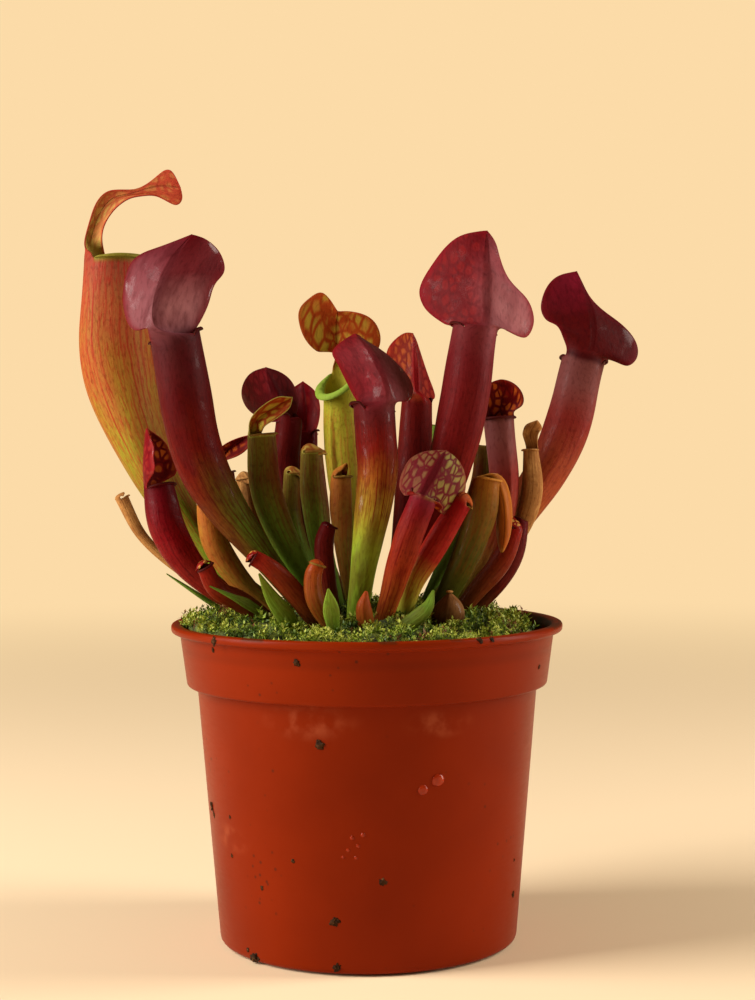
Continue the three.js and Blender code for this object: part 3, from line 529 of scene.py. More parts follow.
# %% [markdown]
# To lay a sheet along a leaf, the script has to know where the leaf is at any height and which
# way it points there. The spine is a smooth curve through its points, and a hood is followed in
# small steps that each turn a little further.

# %% Where a leaf is
def ease(low, high, x):
    share = min(1.0, max(0.0, (x - low) / (high - low)))
    return share * share * (3 - 2 * share)


def lerp(first, second, share):
    return first + (second - first) * share


def along_curve(points, t):
    """A smooth curve through all the points, at t of 0 to 1."""
    spans = len(points) - 1
    at = min(t * spans, spans - 1e-6)
    i = int(at)
    w = at - i
    b, c = points[i], points[i + 1]
    a = points[i - 1] if i else b * 2 - c
    d = points[i + 2] if i + 2 <= spans else c * 2 - b
    return (b * 2 + (c - a) * w + (a * 2 - b * 5 + c * 4 - d) * w**2 + (b * 3 - a - c * 3 + d) * w**3) / 2


def station(leaf, t):
    """The middle of the leaf at t and its own three directions, with its radius."""
    points = [Vector(p[:3]) for p in leaf["spine"]]
    middle = along_curve(points, t)
    step = 0.002
    up = (along_curve(points, min(1, t + step)) - along_curve(points, max(0, t - step))).normalized()
    front = Vector((math.cos(leaf["facing"]), math.sin(leaf["facing"]), 0))
    front = (front - up * front.dot(up)).normalized()
    slim = SLIM.get(leaf["name"], [1] * len(points))
    radii = [Vector((p[3] * share, 0)) for p, share in zip(leaf["spine"], slim)]
    return middle, up, front, up.cross(front), along_curve(radii, t).x


def on_sight(spot, depth):
    """The point behind a point of the picture that lies at y = depth."""
    origin, aim = sight(*spot)
    origin = origin / MM
    return origin + aim * ((depth - origin.y) / aim.y)


def curve_length(leaf, steps=40):
    points = [Vector(p[:3]) for p in leaf["spine"]]
    stops = [along_curve(points, i / steps) for i in range(steps + 1)]
    return sum((b - a).length for a, b in zip(stops, stops[1:]))


HOOD_FINE = 8
WIDEST_AT = 0.4
LEAN_BY = 0.35
LOBES_BY = 0.3
TIP_END = 0.997


def hood_stations(leaf):
    """Follows the hood's midrib: for each small step, its middle, directions and cross-section."""
    shape = leaf["hood"]
    middle, mouth_up, mouth_front, _, radius = station(leaf, 1)
    mouth_side = mouth_up.cross(mouth_front)
    total = shape["neck"] + shape["length"]
    neck_end = shape["neck"] / total
    middle = middle - mouth_front * radius
    skew = math.log(0.5) / math.log(WIDEST_AT)
    steps = leaf["detail"]["blade"] * HOOD_FINE
    rows = []
    for step in range(steps + 1):
        s = step / steps
        on_blade = max(0.0, (s - neck_end) / (1 - neck_end))
        on_neck = ease(0, neck_end, s)
        lean = shape["rise"] * on_neck + (shape["lean"] - shape["rise"]) * ease(0, LEAN_BY, on_blade)
        lean += shape["curl"] * on_blade
        turned = Matrix.Rotation(shape["turn"] * on_neck, 3, mouth_up)
        front, side = turned @ mouth_front, turned @ mouth_side
        sway = shape["sway"] * ease(0, 1, s * 2)
        up = mouth_up * math.cos(sway) + side * math.sin(sway)
        across = side * math.cos(sway) - mouth_up * math.sin(sway)
        along = up * math.cos(lean) + front * math.sin(lean)
        outward = up * math.sin(lean) - front * math.cos(lean)
        chord = 2 * min(on_blade, TIP_END) ** skew - 1
        waist = (BROAD_NECK if leaf["name"] in RAISED else shape["waist"]) * radius
        if s <= neck_end:
            half = lerp(radius * BACK_ARC, waist, on_neck)
        else:
            half = waist * (1 - on_blade) + shape["half"] * math.sqrt(1 - chord * chord) ** 1.1
        settled = ease(0, max(neck_end * 1.5, 0.15), s)
        lobe = shape["lobe"] * shape["half"] * ease(0, LOBES_BY, on_blade) * (1 - on_blade) ** 0.6
        rows.append({
            "middle": middle.copy(), "ahead": along, "aside": across, "outward": outward,
            "half": half, "fold": shape["fold"] * settled,
            "roll": lerp(BACK_ARC, shape["roll"], settled), "droop": lobe, "on_blade": on_blade})
        middle = middle + along * (total / steps)
    return rows


# %% [markdown]
# Each sheet starts as Blender's grid primitive. `lay` moves its points to the places that a
# function of across and along gives, and writes two UV maps: `leaf`, round the leaf from 0 to 1
# and along it, where the tube runs from 0 to 1, its lip to 1.1 and the hood from 1 to 2, and
# `span`, the same in centimetres. The tube, its rolled lip and the hood are joined, their shared
# points merged, and the skin gets its thickness and its smoothness from two modifiers.

# %% Lay the sheets of a leaf
LIP_TURN = math.radians(215)
LIP_ROWS = 4
LIP_MAP = 0.1
LIP_WIDTH = 3
SKIN = 0.4
SKIN_SHARE = 0.16
OPEN_RADIUS = 0.5
SAME_POINT = 0.02
RIM_FADE = 0.25
LIP_FADE = 1.0
BLEND_IN = 0.12


def lay(columns, rows, place):
    deselect()
    bpy.ops.mesh.primitive_grid_add(
        x_subdivisions=columns, y_subdivisions=rows, size=1, location=(0, 0, 0))
    sheet = bpy.context.object
    mesh = sheet.data
    spots = [place(v.co.x + 0.5, v.co.y + 0.5) for v in mesh.vertices]
    mesh.uv_layers[0].name = "leaf"
    mesh.uv_layers.new(name="span")
    for loop in mesh.loops:
        mesh.uv_layers["leaf"].uv[loop.index].vector = spots[loop.vertex_index][1]
        mesh.uv_layers["span"].uv[loop.index].vector = spots[loop.vertex_index][2]
    for vertex, spot in zip(mesh.vertices, spots):
        vertex.co = spot[0] * MM
    return sheet


def grow(leaf, skins):
    """One whole leaf, as a closed sheet. The wall needs both skins first, to tell its sides apart."""
    detail, seed = leaf["detail"], leaf["seed"]
    length = curve_length(leaf)
    girth = 2 * math.pi * max(p[3] for p in leaf["spine"])
    tube_share = detail["rows"] / (detail["rows"] + LIP_ROWS)
    mouth_radius = leaf["spine"][-1][3]
    open_mouth = mouth_radius > OPEN_RADIUS
    slant = SLANT.get(leaf["name"], 0)
    first_side, second_side = RAISED.get(leaf["name"], (0, 0))
    hood_from = math.pi - BACK_ARC

    def tube(across, along):
        angle = 2 * math.pi * across
        t = min(1.0, along / tube_share)
        middle, up, front, side, radius = station(leaf, t)
        keel = leaf["keel"] * math.sin(math.pi * min(1, t * 1.02)) ** 0.7 if across in (0, 1) else 0
        ground = Vector((math.cos(angle), math.sin(angle), t * 6 + seed))
        uneven = 1 + (0.09 * noise.noise(ground) + 0.04 * noise.noise(ground * 2.6)) * min(1, (1 - t) * 6)
        out = front * math.cos(angle) * leaf["flat"] + side * math.sin(angle)
        point = middle + out * (radius * uneven + keel) - up * slant * math.cos(angle) * ease(0.75, 1, t)
        rolled = max(0.0, (along - tube_share) / (1 - tube_share))
        off_front = min(angle, 2 * math.pi - angle)
        lift = lerp(second_side, first_side, (1 + math.sin(angle)) / 2)
        point += up * lift * ease(hood_from, hood_from - RIM_FADE, off_front) * ease(0.8, 1, t)
        if open_mouth:
            reach = leaf["lip"] * ease(hood_from, hood_from - LIP_FADE, off_front)
            turn = LIP_TURN * rolled
            point += out * reach * (1 - math.cos(turn)) + up * reach * math.sin(turn)
        elif rolled:
            turn = math.pi / 2 * rolled
            point = middle + out * radius * math.cos(turn) + up * radius * math.sin(turn)
        span = girth * across / 10, (length * t + LIP_WIDTH * rolled) / 10
        return point, (across, t + rolled * LIP_MAP), span

    columns = detail["around"]
    sheets = [lay(columns, detail["rows"] + LIP_ROWS, tube)]
    if leaf["hood"]:
        stations = hood_stations(leaf)
        last = len(stations) - 1
        blade = leaf["hood"]["neck"] + leaf["hood"]["length"]
        neck_share = leaf["hood"]["neck"] / blade
        drawn = DRAWN.get(leaf["name"])
        starts = drawn["starts"] or neck_share if drawn else 1
        lines = {key: [Vector(p) for p in drawn[key]] for key in ("left", "rib", "right")} if drawn else {}
        mouth_up = station(leaf, 1)[1]

        def cover(across, along):
            u = 1 - 2 * across
            here = stations[round(along * last)]
            fold, roll, outward, on_blade = here["fold"], here["roll"], here["outward"], here["on_blade"]
            slope = fold + roll * abs(u)
            breadth = (math.sin(slope) - math.sin(fold)) / roll
            depth = (math.cos(fold) - math.cos(slope)) / roll
            wave = leaf["wave"] * on_blade * abs(u) ** 3 * math.sin(along * 17 + u * 2 + seed)
            wave += 0.5 * leaf["wave"] * on_blade * noise.noise(Vector((u * 1.6, along * 4, seed)))
            half = here["half"]
            point = here["middle"] + here["aside"] * breadth * half * math.copysign(1, u)
            point -= outward * (depth * half - wave) + here["ahead"] * here["droop"] * abs(u) ** 1.6
            point += mouth_up * slant * math.cos(BACK_ARC * u) * (1 - ease(0, neck_share, along))
            if along > starts:
                share = (along - starts) / (1 - starts)
                rib = along_curve(lines["rib"], share)
                edge = along_curve(lines["left" if u * here["aside"].x < 0 else "right"], share)
                full = (math.sin(fold + roll) - math.sin(fold)) / roll
                half = (on_sight(edge, here["middle"].y) - on_sight(rib, here["middle"].y)).length / full
                away = here["middle"].y - math.copysign(depth * half - wave, outward.y)
                point = point.lerp(on_sight(rib.lerp(edge, breadth / full), away), ease(0, BLEND_IN, share))
            span = (girth / 2 - half * u) / 10, (length + blade * along) / 10
            return point, (0.5 - u / 6, 1 + along), span

        sheets.append(lay(columns // 3, detail["blade"], cover))
    pick(*sheets)
    bpy.ops.object.join()
    piece = bpy.context.object
    piece.name = leaf["name"] + "_leaf"
    piece.data.name = piece.name
    bpy.ops.object.mode_set(mode="EDIT")
    bpy.ops.mesh.select_all(action="SELECT")
    bpy.ops.mesh.remove_doubles(threshold=SAME_POINT * MM)
    bpy.ops.object.mode_set(mode="OBJECT")
    for skin in skins:
        piece.data.materials.append(skin)
    if open_mouth:
        wall = piece.modifiers.new("wall", "SOLIDIFY")
        wall.thickness = min(SKIN, SKIN_SHARE * mouth_radius) * MM
        wall.offset = -1
        wall.use_even_offset = False
        wall.material_offset = 1
        bpy.ops.object.modifier_apply(modifier="wall")
    round_off = piece.modifiers.new("round_off", "SUBSURF")
    round_off.levels = round_off.render_levels = detail["smooth"]
    bpy.ops.object.modifier_apply(modifier="round_off")
    bpy.ops.object.shade_smooth()
    return piece


# %% [markdown]
# A leaf's skin is waxy and changes all the way up: green at the foot, then red with darker
# stripes, then nearly black-red at the mouth. The hood has a net of veins with paler panes
# between them. One recipe makes every skin. It reads the leaf's own maps, so stripes run up the
# tube and the net spreads over the hood, and a table gives each leaf its colours. Where two rows
# of colours are given, the first is for the left of the leaf's back and the second for its right.

# %% Leaf skins
def ladder(rows):
    return [(place / 2, tint(*colour)) for place, colour in rows]


def leaf_skin(name, left, right=None, stripe=None, net=None, edge=None, lip=None, band=None,
              blush=None, rough=0.42, wet=0.0, seed=0.0, net_right=1.0):
    """Colours run from foot to tip; the rest are marks that a leaf may have, and its gloss."""
    skin = Finish(name, Coat_Roughness=0.1, Specular_IOR_Level=0.04)
    u, v = skin.map("leaf")
    x, y = skin.map("span")
    seat = skin.vector(x, y, seed)
    drift = skin.noise(seat, 0.9, 1.0) - 0.5
    ripple = skin.noise(seat, 4.0, 2.0) - 0.5
    off_rib = abs(u - 0.5) * 6
    hooded = skin.smooth(v, 1.02, 1.25)
    colour = skin.ramp((v + drift * 0.12) / 2, ladder(left))
    if right:
        share = skin.smooth(u + drift * 0.06, 0.44, 0.56) * (1 - skin.smooth(u, 0.85, 1.0))
        colour = skin.mix(share, colour, skin.ramp((v + drift * 0.12) / 2, ladder(right)))
    height = skin.noise(seat, 12.0, 3.0) * 0.5
    if blush:
        blush_colour, strength, scale = blush
        blot = skin.smooth(skin.noise(skin.vector(x, y * 0.5, seed + 3), scale, 3.0), 0.42, 0.6)
        colour = skin.mix(blot * strength, colour, tint(*blush_colour))
    if stripe:
        count, stripe_colour, strength, low, high = stripe
        phase = u * count + drift * 0.9 + ripple * 0.2
        lane = phase.whole()
        own = skin.node("TexWhiteNoise", {"noise_dimensions": "1D"}, {"W": lane + seed})
        broken = skin.smooth(skin.noise(skin.vector(lane * 3.7, y * 0.8, seed), 1.0, 2.0), 0.3, 0.55)
        line = (1 - skin.smooth(abs(phase.part() - 0.5), 0.04, 0.26)) * (own * 0.6 + 0.4) * broken
        rungs = skin.cells(skin.vector(u * count * 0.5, y * 1.1, seed), 1.0)
        line = line.larger((1 - skin.smooth(rungs, 0.01, 0.09)) * 0.25)
        streaks = skin.smooth(skin.noise(skin.vector(x * 4, y * 0.45, seed + 2), 5.0, 3.0), 0.48, 0.66)
        line = line.larger(streaks * 0.7)
        line = line * skin.smooth(v, low, low + 0.12) * (1 - skin.smooth(v, high - 0.15, high))
        colour = skin.mix(line * strength, colour, tint(*stripe_colour))
        height = height + line * 0.25
    if net:
        cell, stretch, vein, strength, pane, pane_strength, on_tube = net
        there = skin.vector(x + ripple * 0.09, y * stretch + drift * 0.2, seed)
        meshes = skin.cells(there, 10 / cell)
        discs = 1 - skin.smooth(skin.cells(there, 10 / cell, "F1"), 0.36, 0.56)
        where = hooded * (1 - on_tube) + on_tube
        if right:
            where = where * (1 - share * (1 - net_right))
        colour = skin.mix((1 - skin.smooth(meshes, 0.03, 0.24)) * where * strength, colour, tint(*vein))
        colour = skin.mix(discs * skin.smooth(meshes, 0.06, 0.2) * where * pane_strength, colour, tint(*pane))
    if band:
        middle = (1 - skin.smooth(off_rib, 0.08, 0.2)) * skin.smooth(v, 0.98, 1.08)
        colour = skin.mix(middle, colour, tint(*band))
    if edge:
        rim = skin.smooth(off_rib, 0.74, 1.0) * skin.smooth(v, 1.0, 1.05)
        rim = rim.larger(skin.smooth(v, 1.9, 2.0)) * 0.8
        colour = skin.mix(rim, colour, tint(*edge))
    if lip:
        on_lip = skin.smooth(off_rib, 1.0, 1.1) * skin.smooth(v, 0.985, 1.01)
        colour = skin.mix(on_lip, colour, tint(*lip))
    mottle = skin.smooth(skin.noise(skin.vector(x, y * 0.5, seed + 5), 13.0, 4.0), 0.5, 0.66)
    colour = skin.node("Mix", {"data_type": "RGBA", "blend_type": "MULTIPLY"},
                       {0: mottle * 0.3, 6: colour, 7: tint(150, 110, 110)}, out=2)
    # Painted shade: each leaf is darkened towards its foot, where the leaves crowd together at the crown.
    shaded_foot = 1 - skin.smooth(v, 0.0, 0.26)
    colour = skin.mix(shaded_foot * 0.5, colour, tint(40, 30, 10))
    rib = (1 - skin.smooth(off_rib, 0.02, 0.09)) * hooded
    height = height - rib * 0.7
    colour = skin.mix(rib * 0.35, colour, tint(60, 12, 14))
    near_edge = skin.smooth(off_rib, 0.6, 0.92) * hooded
    where_wet = skin.vector(x, y, seed + 9)
    film = skin.smooth(skin.noise(where_wet, 2.4, 3.0), 0.5, 0.62) * (near_edge * 0.85 + 0.15) * wet
    film_lumps = skin.noise(where_wet, 6.0, 2.0)
    height = height * (1 - film * 0.6) + film * film_lumps * 1.4
    worn = skin.noise(seat, 5.0, 4.0) - 0.5
    gloss = (worn * 0.3 + rough) * (1 - film * 0.6)
    bump = skin.relief(height, 0.16)
    return skin.join(Base_Color=colour, Roughness=gloss, Coat_Weight=film * 0.6, Normal=bump)


def plain_skin(name, low, high, **rest):
    """A skin that goes from one colour at the foot to another at the tip."""
    return leaf_skin(name, [(0, low), (1, high), (2, high)], **rest)


SKINS = {
    # Painted sheen: the pale mauve in the middle of this hood is partly a real waxy bloom and partly the
    # reflection of the bright room.
    "front_left": leaf_skin(
        "front_left_skin",
        [(0, (92, 96, 28)), (0.3, (96, 84, 24)), (0.52, (100, 56, 18)), (0.66, (100, 16, 8)),
         (0.85, (82, 12, 14)), (1.0, (74, 28, 32)), (1.12, (104, 52, 58)), (1.4, (122, 68, 74)),
         (1.7, (114, 48, 56)), (2, (92, 16, 26))],
        [(0, (100, 128, 34)), (0.46, (88, 110, 32)), (0.6, (90, 66, 20)), (0.72, (96, 16, 8)),
         (0.85, (78, 12, 12)), (1.0, (70, 24, 28)), (1.12, (118, 62, 70)), (1.35, (152, 96, 102)),
         (1.6, (112, 36, 44)), (2, (88, 8, 16))],
        stripe=(26, (76, 8, 6), 0.8, 0.04, 0.9), edge=(104, 8, 18), lip=(48, 6, 14),
        blush=((72, 10, 16), 0.45, 2.6), rough=0.5, wet=0.6, seed=1.0),
    # Painted sheen: the mauve of this hood's right half is partly a real waxy bloom and partly the reflection
    # of the bright room.
    "centre": leaf_skin(
        "centre_skin",
        [(0, (100, 130, 34)), (0.38, (144, 166, 46)), (0.54, (166, 140, 40)), (0.68, (150, 84, 26)),
         (0.8, (118, 30, 16)), (0.92, (92, 26, 26)), (1.0, (92, 30, 34)), (1.3, (122, 28, 36)),
         (1.6, (126, 34, 42)), (2, (108, 8, 18))],
        [(0, (106, 136, 36)), (0.38, (150, 170, 50)), (0.54, (168, 142, 42)), (0.68, (152, 86, 28)),
         (0.8, (118, 34, 20)), (0.92, (94, 32, 32)), (1.0, (98, 42, 46)), (1.35, (128, 66, 72)),
         (1.8, (122, 58, 62)), (2, (120, 62, 58))],
        stripe=(28, (112, 14, 8), 0.95, 0.42, 1.0), net=(2.0, 0.8, (70, 8, 16), 0.3, (140, 60, 60), 0.0, 0.1),
        edge=(130, 14, 22), blush=((84, 12, 14), 0.45, 2.0), rough=0.46, wet=1.5, seed=2.0, net_right=0.2),
    # Painted reflection: the pale mauve of this hood's right half stands for the bright room reflected in it;
    # the left half keeps the leaf's own crimson.
    "right_tall": leaf_skin(
        "right_tall_skin",
        [(0, (104, 60, 26)), (0.3, (124, 28, 14)), (0.6, (104, 16, 14)), (0.9, (96, 22, 26)),
         (1.0, (104, 38, 42)), (1.2, (106, 20, 24)), (1.5, (108, 16, 20)), (2, (98, 10, 16))],
        [(0, (112, 60, 28)), (0.3, (126, 30, 16)), (0.6, (106, 16, 14)), (0.9, (102, 34, 40)),
         (1.0, (126, 62, 70)), (1.4, (152, 90, 96)), (1.7, (142, 70, 78)), (2, (116, 24, 36))],
        stripe=(22, (82, 6, 10), 0.6, 0.0, 0.95), net=(2.2, 0.9, (84, 6, 14), 0.4, (140, 24, 20), 0.25, 0.0),
        edge=(120, 14, 26), blush=((84, 10, 16), 0.3, 2.0), rough=0.5, wet=0.15, seed=3.0, net_right=0.0),
    "far_right": leaf_skin(
        "far_right_skin",
        [(0, (112, 142, 44)), (0.3, (150, 116, 44)), (0.5, (152, 70, 36)), (0.75, (126, 40, 34)),
         (0.9, (116, 62, 60)), (0.99, (104, 54, 52)), (1.02, (60, 10, 12)), (1.1, (80, 14, 14)),
         (1.5, (74, 8, 10)), (2, (124, 22, 42))],
        stripe=(22, (110, 20, 20), 0.5, 0.2, 0.85),
        net=(2.2, 0.9, (60, 6, 12), 0.3, (150, 60, 60), 0.0, 0.05),
        edge=(96, 10, 18), rough=0.5, wet=0.3, seed=4.0),
    "back_left_tall": leaf_skin(
        "back_left_tall_skin",
        [(0, (84, 130, 30)), (0.4, (120, 142, 34)), (0.6, (150, 130, 40)), (0.76, (160, 106, 42)),
         (0.9, (152, 88, 50)), (1.0, (140, 70, 50)), (1.3, (150, 52, 34)), (1.8, (164, 44, 34)),
         (2, (174, 54, 42))],
        stripe=(30, (154, 34, 28), 0.95, 0.26, 1.9), edge=(150, 50, 34), lip=(126, 118, 44),
        blush=((170, 66, 50), 0.3, 1.4), rough=0.5, seed=5.0),
    "strip_inside": leaf_skin(
        "strip_inside_skin",
        [(0, (130, 140, 50)), (1.0, (176, 160, 76)), (1.3, (184, 138, 70)), (1.5, (180, 96, 56)),
         (2, (176, 70, 46))],
        net=(2.0, 0.7, (166, 52, 42), 0.55, (196, 176, 96), 0.15, 0.1), edge=(176, 62, 46),
        lip=(126, 118, 44), rough=0.5, seed=23.0),
    "back_centre": leaf_skin(
        "back_centre_skin",
        [(0, (104, 128, 36)), (0.6, (160, 150, 42)), (1.0, (160, 158, 44)), (1.4, (150, 104, 34)),
         (2, (150, 70, 28))],
        stripe=(18, (176, 92, 40), 0.6, 0.3, 1.0), edge=(146, 66, 26), lip=(138, 166, 62),
        rough=0.5, seed=6.0),
    "back_right": leaf_skin(
        "back_right_skin",
        [(0, (86, 22, 16)), (1.0, (96, 16, 14)), (1.15, (134, 52, 20)), (2, (146, 66, 26))],
        [(0, (86, 20, 16)), (1.0, (96, 16, 14)), (1.15, (126, 28, 24)), (2, (124, 24, 20))],
        stripe=(18, (70, 6, 8), 0.6, 0.0, 1.0), net=(2.0, 0.9, (96, 8, 8), 0.85, (156, 76, 30), 0.15, 0.0),
        edge=(124, 14, 16), band=(130, 16, 18), rough=0.5, wet=0.3, seed=7.0),
    "spotted": leaf_skin(
        "spotted_skin",
        [(0, (150, 84, 30)), (0.5, (138, 44, 18)), (0.9, (110, 16, 22)), (1.0, (108, 20, 32)),
         (1.08, (108, 58, 42)), (2, (118, 84, 52))],
        [(0, (156, 90, 32)), (0.5, (146, 50, 20)), (0.9, (110, 18, 24)), (1.0, (108, 24, 38)),
         (1.08, (124, 98, 50)), (2, (134, 122, 62))],
        stripe=(16, (104, 12, 10), 0.85, 0.1, 1.0),
        net=(1.6, 1.0, (92, 18, 26), 1.0, (164, 160, 78), 0.0, 0.0),
        edge=(122, 62, 48), band=(92, 18, 26), rough=0.5, wet=0.2, seed=8.0),
    "red_green": leaf_skin(
        "red_green_skin",
        [(0, (120, 150, 52)), (0.35, (168, 150, 52)), (0.6, (150, 40, 26)), (1.0, (132, 14, 18)),
         (1.3, (160, 76, 34)), (2, (166, 88, 38))],
        stripe=(16, (130, 12, 16), 0.7, 0.2, 1.0), edge=(150, 70, 36), seed=9.0),
    "red": leaf_skin(
        "red_skin",
        [(0, (110, 92, 36)), (0.3, (124, 30, 20)), (0.6, (118, 12, 18)), (1.0, (82, 8, 18)),
         (1.3, (116, 10, 22)), (2, (122, 14, 24))],
        stripe=(20, (76, 4, 10), 0.7, 0.1, 0.95), net=(2.0, 0.9, (82, 4, 12), 0.4, (160, 60, 44), 0.2, 0.1),
        edge=(140, 30, 28), rough=0.42, wet=0.5, seed=10.0),
    "dark": leaf_skin(
        "dark_skin",
        [(0, (86, 62, 24)), (0.4, (98, 24, 14)), (1.0, (84, 12, 14)), (1.4, (84, 8, 14)), (2, (104, 14, 24))],
        stripe=(18, (62, 6, 8), 0.7, 0.1, 0.95), net=(2.4, 0.9, (52, 4, 8), 0.4, (120, 34, 36), 0.15, 0.1),
        edge=(104, 16, 26), rough=0.5, wet=0.3, seed=11.0),
    "olive": leaf_skin(
        "olive_skin",
        [(0, (84, 112, 30)), (0.35, (86, 108, 30)), (0.6, (94, 62, 18)), (0.85, (94, 42, 12)),
         (1.0, (106, 84, 28)), (1.4, (158, 116, 46)), (2, (164, 96, 42))],
        [(0, (90, 124, 34)), (0.5, (92, 120, 34)), (0.75, (84, 74, 20)), (1.0, (104, 92, 30)),
         (1.4, (158, 116, 46)), (2, (164, 96, 42))],
        stripe=(20, (92, 26, 12), 0.7, 0.3, 1.1),
        net=(2.0, 0.7, (130, 54, 30), 0.7, (184, 160, 80), 0.4, 0.0),
        edge=(176, 166, 76), lip=(150, 150, 60), rough=0.5, wet=0.2, seed=12.0),
    "arched": leaf_skin(
        "arched_skin",
        [(0, (60, 72, 18)), (0.5, (76, 72, 20)), (0.8, (112, 76, 24)), (1.0, (146, 90, 28)),
         (1.5, (168, 96, 30)), (2, (156, 74, 22))],
        stripe=(16, (128, 56, 20), 0.5, 0.3, 1.9), edge=(186, 124, 50), rough=0.4, wet=0.5, seed=13.0),
    "dried": plain_skin(
        "dried_skin", (134, 92, 46), (196, 144, 84),
        stripe=(18, (120, 70, 34), 0.6, 0.0, 2.0), blush=((130, 80, 40), 0.6, 2.2), rough=0.68, seed=14.0),
    "shiny_brown": plain_skin(
        "shiny_brown_skin", (66, 38, 16), (140, 96, 56), stripe=(18, (60, 30, 14), 0.5, 0.0, 2.0),
        blush=((60, 28, 14), 0.5, 2.2), rough=0.34, wet=1.0, seed=15.0),
    "amber": plain_skin(
        "amber_skin", (100, 110, 32), (162, 104, 40),
        stripe=(16, (148, 60, 26), 0.6, 0.0, 1.0), blush=((150, 72, 34), 0.5, 2.0), seed=16.0),
    "bud": plain_skin(
        "bud_skin", (98, 62, 24), (128, 22, 14), stripe=(18, (92, 8, 10), 0.6, 0.0, 1.0),
        net=(1.4, 0.9, (104, 12, 10), 0.6, (200, 150, 70), 0.7, 0.0), wet=0.6, seed=17.0),
    "rust": plain_skin(
        "rust_skin", (96, 70, 22), (148, 62, 22),
        stripe=(16, (124, 34, 16), 0.6, 0.0, 1.0), rough=0.36, wet=0.8, seed=18.0),
    "green": plain_skin(
        "green_skin", (66, 92, 24), (98, 128, 38),
        stripe=(12, (120, 148, 56), 0.5, 0.0, 1.2), blush=((104, 92, 34), 0.45, 2.4), seed=19.0),
    "leaflet": plain_skin(
        "leaflet_skin", (74, 104, 26), (128, 158, 46),
        stripe=(14, (146, 172, 70), 0.5, 0.0, 1.2), blush=((112, 98, 36), 0.45, 3.0), seed=20.0),
    "gold_inside": leaf_skin(
        "gold_inside_skin",
        [(0, (120, 130, 44)), (0.9, (166, 150, 54)), (1.3, (186, 140, 50)), (2, (182, 96, 36))],
        stripe=(24, (156, 50, 28), 0.4, 0.4, 1.2),
        net=(2.5, 0.8, (150, 50, 18), 0.9, (176, 168, 56), 0.5, 0.1),
        edge=(160, 66, 26), lip=(126, 92, 36), rough=0.5, seed=21.0),
    "lime_inside": leaf_skin(
        "lime_inside_skin",
        [(0, (120, 130, 44)), (0.9, (166, 160, 54)), (1.3, (176, 140, 50)), (2, (172, 96, 36))],
        net=(2.2, 0.8, (150, 54, 18), 0.95, (166, 158, 52), 0.4, 0.0), edge=(156, 62, 24), lip=(138, 166, 62),
        rough=0.5, seed=24.0),
    "dark_inside": leaf_skin(
        "dark_inside_skin",
        [(0, (110, 84, 36)), (0.9, (96, 30, 18)), (1.2, (120, 22, 12)), (2, (128, 20, 14))],
        net=(2.0, 0.9, (76, 4, 6), 0.8, (180, 84, 24), 0.85, 0.0), edge=(128, 40, 20), lip=(64, 16, 14),
        rough=0.5, seed=22.0),
}
print("leaf skins:", len(SKINS))

# %% [markdown]
# Now every leaf is grown, given its outer and inner skin, and set in the place of its solid.

# %% Grow the leaves
# the skins outside and inside, and the leaves that wear them
WORN_BY = {
    ("front_left", "dark_inside"): ["front_left_pitcher"],
    ("centre", "dark_inside"): ["centre_pitcher"],
    ("right_tall", "dark_inside"): ["right_tall_pitcher"],
    ("far_right", "dark_inside"): ["far_right_pitcher", "right_middle_pitcher"],
    ("back_left_tall", "strip_inside"): ["back_left_tall_pitcher"],
    ("back_centre", "lime_inside"): ["back_centre_pitcher"],
    ("back_right", "dark_inside"): ["back_right_pitcher"],
    ("spotted", "dark_inside"): ["spotted_pitcher"],
    ("red_green", "gold_inside"): ["red_green_pitcher"],
    ("red", "dark_inside"): ["red_back_pitcher", "low_left_pitcher", "small_red_left_pitcher"],
    ("dark", "dark_inside"): ["dark_back_left_pitcher", "dark_bud", "low_right_back_pitcher"],
    ("olive", "gold_inside"): ["green_left_pitcher", "green_arched_pitcher", "brown_middle_pitcher",
                               "olive_back_pitcher"],
    ("amber", "gold_inside"): ["orange_middle_pitcher", "amber_left_pitcher"],
    ("arched", "arched"): ["olive_arched_pitcher"],
    ("dried", "dried"): ["brown_arched_pitcher", "tan_dried_pitcher", "far_left_dried_pitcher"],
    ("bud", "dark_inside"): ["low_right_pitcher", "left_bud", "front_red_bud"],
    ("rust", "gold_inside"): ["rust_bud"],
    ("rust", "rust"): ["amber_bud"],
    ("shiny_brown", "dried"): ["brown_cup"],
    ("green", "gold_inside"): ["green_back_pitcher"],
    ("green", "green"): ["right_leaflet", "left_phyllode", "far_left_spike"],
    ("leaflet", "leaflet"): ["front_leaflet", "left_leaflet"],
}
WEARS = {name: skins for skins, names in WORN_BY.items() for name in names}


def settle(piece, node):
    """Gives a finished piece its body and hides the CAD solid of the node it stands for."""
    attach(piece, "root")
    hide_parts(node)


lined = 0
for name, plan in LEAVES.items():
    grown = grow(plan, [SKINS[side] for side in WEARS[name]])
    lined += len({face.material_index for face in grown.data.polygons}) == 2
    settle(grown, name)
print("leaves grown:", len(LEAVES), "with a skin of its own inside:", lined)

# %% [markdown]
# The pot is one thin injection-moulded wall: a foot, a tapered body, a deep collar and a rolled
# rim. It is turned, so one ring of edges is extruded and resized along the pot's profile. Every
# corner of the profile is first rounded, because moulded plastic has no sharp edges and the
# rounding is what catches the light. The CAD pot has 36 flat sides; this one has 144.

# %% Pot
POT_SIDES = 144
DRAIN = {"radius": 3.5, "circle": 21, "holes": 6, "depth": 20}
POT_PROFILE = [
    # radius, height and rounding of each corner, from under the floor out and round to the middle
    (31.6, 2, 0.3), (31.6, 0, 0.5), (34.2, 0, 1.4), (39.1, 58.9, 0.5), (41.4, 58.9, 0.7), (43, 70.9, 0.4),
    (45, 71.2, 0.7), (45, 73, 0.8), (42.6, 73, 0.9), (41.8, 71.5, 0.6), (40.2, 60.1, 0.6), (37.9, 57.8, 0.6),
    (33, 3.5, 1.0), (0, 3.5, 0),
]


